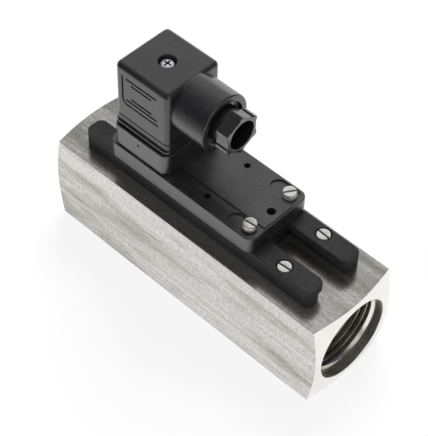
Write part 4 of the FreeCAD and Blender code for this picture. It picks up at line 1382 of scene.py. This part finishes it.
    def seal(self) -> None:
        """Builds the flat seal under the plug."""
        middle = (self.x, 0.0)
        ring = Form.post(middle, (self.seal_half,) * 2, self.seal_base, self.seal_top)
        ring.soften(self.corner, 8, where=upright)
        ring.carve(Form.post(middle, (self.seal_hole,) * 2, self.seal_base - TALL,
                             self.seal_top + TALL))
        ring.soften(self.seal_edge, angle=60.0)
        ring.finish("plug_seal", RUBBER, Body.HEAD, ["flat_gasket"])

    def crossed(self, middle: Vector, _: Vector) -> bool:
        """Tells whether a face lies in the cross of the centre screw.

        Args:
            middle: Middle of the face.
            _: Its normal, which doesn't count.

        Returns:
            True in the cross.
        """
        away = math.hypot(middle.x - self.x, middle.y)
        rise = middle.z - self.top + self.recess_depth
        return away < self.cross[0] + SLACK and self.cross_floor - CLOSE < rise < self.cross_top

    def screw(self) -> None:
        """Builds the centre screw."""
        seat = self.top - self.recess_depth
        centre, floor = (self.x, 0.0, seat), seat + self.cross_floor
        screw = Form.turned(self.screw_outline, Axis.Z, centre, self.screw_facets)
        screw.carve(*[Form.post((self.x, 0.0), half, floor, seat + TALL)
                      .turn(self.cross_turn, Axis.Z, centre)
                      for half in (self.cross, self.cross[::-1])])
        # Faces in the cross get painted shade.
        screw.finish("plug_screw", ZINC, Body.HEAD, ["centre_screw"],
                     accents=[(SLOT_SHADE, self.crossed)])

    def build(self) -> None:
        """Builds the plug, its seal and its screw."""
        self.shell()
        self.seal()
        self.screw()


@dataclass
class CableGland:
    """Six-sided gland nut with a neck, in the plug's boss."""

    rim: float = 1.8
    z: float = 82.5
    corner: float = 8.5
    corner_edge: float = 0.35
    angles: Sequence[int] = range(30, 390, 60)
    out: float = 8.0
    face_edge: float = 0.3
    hexagon: float = 5.4
    neck: float = 6.9
    neck_root: float = 2.0
    shank: float = 7.55
    shank_end: float = 9.5
    shank_tip: float = 0.4
    hole: float = 5.75
    hole_reach: float = 20.0
    flute_half: float = 2.6
    flute_depth: float = 0.4
    flute_edge: float = 0.3
    facets: int = 96

    def flute(self, turn: float) -> Form:
        """Tool that sinks the middle of one flat.

        Args:
            turn: Direction of the flat about the nut's axis, in degrees.

        Returns:
            The tool.
        """
        floor = self.z + self.corner * math.sqrt(3) / 2 - self.flute_depth
        face = self.rim + self.out
        tool = Form.block((face - self.hexagon - PAST, -self.flute_half, floor),
                          (face + PAST, self.flute_half, floor + TALL))
        return tool.soften(self.flute_edge, where=upright).turn(turn, Axis.X, (0.0, 0.0, self.z))

    def build(self) -> None:
        """Builds the nut."""
        back, centre = self.out - self.hexagon, (self.rim, 0.0, self.z)
        corners = [(self.rim + back, self.corner * math.cos(turn),
                    self.z + self.corner * math.sin(turn))
                   for turn in map(math.radians, self.angles)]
        nut = Form.prism(corners, (self.hexagon, 0.0, 0.0))
        nut.soften(self.corner_edge, 3, where=lengthwise)
        nut.carve(*map(self.flute, self.angles))
        end, joint = -self.shank_end, back + OVERLAP
        stem = ((end, 0.0), (end, self.shank - self.shank_tip), (end + self.shank_tip, self.shank),
                (-self.neck_root, self.shank), (-self.neck_root, self.neck), (joint, self.neck),
                (joint, 0.0))
        nut.carve(Form.turned(stem, Axis.X, centre, self.facets), how=Cut.UNITE)
        nut.carve(cylinder(self.hole, -self.hole_reach, self.hole_reach, Axis.X, centre,
                           self.facets))
        nut.soften(self.face_edge, 3, where=beyond(self.rim + self.out, Axis.X), angle=40.0)
        nut.finish("gland_nut_hex", NUT_BLACK, Body.HEAD, ["gland_nut"])


@dataclass
class InnerWorks:
    """Pieces in the bore, the float and the closed head, taken over from the CAD and dressed."""

    spring_start: float = -7.53
    spring_end: float = 32.53
    spring_turns: int = 7
    spring_facets: int = 48
    spring_radius: float = 4.4
    spring_wire: float = 0.45
    wire_facets: int = 12
    axis_z: float = 20.0
    travel: float = 25.0
    dressed: dict[Body, dict[str, Finish]] = field(default_factory=lambda: {
        Body.METER: {
            "measuring_sleeve": INSERT_STEEL,
            "sleeve_seal": RUBBER,
            "inlet_guide_cross": INSERT_STEEL,
            "outlet_guide_cross": INSERT_STEEL,
            "guide_rod": INSERT_STEEL,
            "rod_nuts": INSERT_STEEL,
            "retaining_rings": SPRING_STEEL,
        },
        Body.FLOAT: {
            "float_body": INSERT_STEEL,
            "ring_magnets": MAGNET,
            "magnet_cap": INSERT_STEEL,
            "float_bushes": BRASS,
        },
        Body.HEAD: {
            "reed_capsule": GLASS,
            "reed_leads": NICKEL,
            "reed_cover": HOUSING_GREY,
            "clamp_bushes": BRASS,
            "pin_base": BLOCK_GREY,
            "contact_blades": NICKEL,
            "terminal_block": BLOCK_GREY,
            "terminal_screws": NICKEL,
            "thrust_washer": NICKEL,
            "gland_seal": RUBBER,
        },
    })

    def spring(self) -> None:
        """Builds the return spring, with a mesh of its own."""
        turns = [math.tau * step / self.wire_facets for step in range(self.wire_facets)]
        section = [(self.spring_wire * math.cos(turn),
                    self.spring_radius + self.spring_wire * math.sin(turn)) for turn in turns]
        free = self.spring_end - self.spring_start
        coil = Form.coil(section, (self.spring_start, 0.0, self.axis_z),
                         free / self.spring_turns, self.spring_turns, self.spring_facets)
        piece = coil.finish("float_spring", SPRING_STEEL, Body.METER, ["return_spring"],
                            smooth=50.0)
        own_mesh(piece)

    def build(self) -> None:
        """Dresses smoothed copies of the inner nodes and builds the spring."""
        for body, finishes in self.dressed.items():
            for node, finish in finishes.items():
                Form.of_node(node).finish(node + "_dressed", finish, body, [node])
        self.spring()


@dataclass
class Studio:
    """Floor, world, lamps and camera, in metres.

    The bank's steps pair how squarely a ray points at it with its light. A strip of light has a
    direction, a power, and the range over which it fades in. A lamp has a name, a place and watts.
    """

    eye: Point = (0.2429, -0.2674, 0.4504)
    azimuth: float = 42.49
    elevation: float = 49.23
    roll: float = 1.73
    lens: float = 124.0
    sensor: float = 36.0
    clip: Pair = (0.01, 20.0)
    floor_half: float = 3.0
    floor_drop: float = 0.0003
    floor_clouds: Point = (3.0, 3.0, 3.0)
    floor_tones: Profile = ((0.3, 0.24), (0.7, 0.26))
    floor_glow: float = 0.83
    floor_gloss: float = 0.93
    gloss_fade: Pair = (-0.1, -0.22)
    gloss_far: float = 0.15
    bank: Point = (-0.45, 0.65, 0.61)
    bank_steps: Profile = ((0.3, 0.06), (0.8, 0.3), (0.93, 0.55), (1.0, 0.68))
    strips: tuple[tuple[Point, float, float, float], ...] = (
        ((0.85, -0.25, 0.5), 0.8, 0.88, 0.96),
        ((-0.44, 0.9, 0.0), 1.7, 0.9, 0.98),
    )
    even_light: Colour = (0.3, 0.3, 0.305)
    lamps: tuple[tuple[str, Point, float], ...] = (
        ("key_soft_box", (-0.35, 0.6, 1.0), 7.5),
        ("fill_soft_box", (0.2, -1.0, 0.6), 2.5),
    )
    lamp_side: float = 0.6
    lamp_aim: Point = (0.0, 0.0, 0.03)

    def camera(self) -> None:
        """Sets the camera to the photograph's view."""
        side, rise, tilt = map(math.radians, (self.azimuth, self.elevation, self.roll))
        flat = Vector((math.cos(side), math.sin(side), 0.0))
        back = Vector((math.sin(side) * math.cos(rise), -math.cos(side) * math.cos(rise),
                       math.sin(rise)))
        steep = back.cross(flat)
        right = flat * math.cos(tilt) + steep * math.sin(tilt)
        over = steep * math.cos(tilt) - flat * math.sin(tilt)
        data = bpy.data.cameras.new("view")
        data.sensor_fit, data.sensor_width, data.lens = "AUTO", self.sensor, self.lens
        data.clip_start, data.clip_end = self.clip
        seat = placed("view", data)
        turn = Matrix((right, over, back)).transposed()
        seat.matrix_world = Matrix.Translation(self.eye) @ turn.to_4x4()
        bpy.context.scene.camera = seat

    def glow(self, nodes: Nodes) -> Socket:
        """Strength of the floor's own light, which only rays that show the floor itself see.

        Args:
            nodes: Helper for the tree.

        Returns:
            Number socket.
        """
        path = nodes.add("LightPath").outputs
        direct = nodes.combine(path["Is Camera Ray"], path["Is Transmission Ray"], Maths.MOST)
        shown = nodes.spread(direct, 0.0, self.floor_glow, 0.0, 1.0)
        near = nodes.spread(nodes.along(Axis.Y), self.floor_gloss, self.gloss_far, *self.gloss_fade)
        mirrored = nodes.combine(path["Is Glossy Ray"], near)
        return nodes.combine(shown, mirrored, Maths.MOST)

    def floor(self) -> None:
        """Pale floor that stays white and keeps the shadow."""
        form = Form()
        bmesh.ops.create_grid(form.bm, x_segments=1, y_segments=1, size=self.floor_half)
        bmesh.ops.translate(form.bm, verts=form.bm.verts, vec=(0.0, 0.0, -self.floor_drop))
        made = bpy.data.materials.new("pale_floor")
        made.use_nodes = True
        nodes = Nodes(made.node_tree)
        cloud = nodes.noise(self.floor_clouds, detail=2.0)
        nodes.feed(made.node_tree.nodes["Principled BSDF"], {
            "Base Color": nodes.greys(cloud, self.floor_tones),
            "Roughness": 0.9,
            "Specular IOR Level": 0.0,
            "Emission Color": (*grey(1.0), 1.0),
            "Emission Strength": self.glow(nodes),
        })
        plane = placed("floor", form.mesh("floor"))
        plane.data.materials.append(made)

    @staticmethod
    def facing(nodes: Nodes, direction: Point) -> Socket:
        """How squarely a ray of the world points in a direction, 1 for a ray along it."""
        rays = {0: nodes.add("TexCoord").outputs["Generated"], 1: Vector(direction).normalized()}
        return nodes.add("VectorMath", rays, operation="DOT_PRODUCT").outputs["Value"]

    def world(self) -> None:
        """White backdrop, light banks at the back and side for gloss, and even light elsewhere."""
        world = bpy.data.worlds.new("studio")
        world.use_nodes = True
        bpy.context.scene.world = world
        nodes = Nodes(world.node_tree)
        banks = nodes.greys(self.facing(nodes, self.bank), self.bank_steps)
        for direction, power, start, end in self.strips:
            strip = nodes.spread(self.facing(nodes, direction), 0.0, power, start, end)
            banks = nodes.combine(banks, strip, Maths.MOST)
        white, even, gloss = (
            nodes.add("Background", {"Color": light}).outputs[0]
            for light in ((*grey(1.0), 1.0), (*self.even_light, 1.0), banks))
        path = nodes.add("LightPath").outputs
        mirror = nodes.combine(path["Is Glossy Ray"], path["Is Transmission Ray"], Maths.MOST)
        lit = nodes.add("MixShader", {"Fac": mirror, 1: even, 2: gloss}).outputs[0]
        seen = nodes.add("MixShader", {"Fac": path["Is Camera Ray"], 1: lit, 2: white}).outputs[0]
        nodes.feed(world.node_tree.nodes["World Output"], {"Surface": seen})

    def lamp(self, name: str, place: Point, power: float) -> None:
        """Square soft lamp aimed at the object, which gloss takes from the light banks instead.

        Args:
            name: Name of the lamp.
            place: Its position.
            power: Watts.
        """
        data = bpy.data.lights.new(name, "AREA")
        data.energy, data.size = power, self.lamp_side
        seat = placed(name, data)
        seat.visible_glossy = False
        turn = (Vector(self.lamp_aim) - Vector(place)).to_track_quat("-Z", "Y").to_matrix()
        seat.matrix_world = Matrix.Translation(place) @ turn.to_4x4()

    def build(self) -> None:
        """Builds the whole studio."""
        bpy.context.scene.view_settings.view_transform = "Standard"
        self.camera()
        self.floor()
        self.world()
        for lamp in self.lamps:
            self.lamp(*lamp)


def main() -> None:
    """Builds every sub-assembly and the studio."""
    logging.basicConfig(level=logging.INFO, format="%(message)s")
    for assembly in (MeterBody(), GuideRails(), SwitchHead(), PlugConnector(), CableGland(),
                     InnerWorks(), Studio()):
        LOG.info("building %s", type(assembly).__name__)
        assembly.build()


if __name__ == "__main__":
    main()
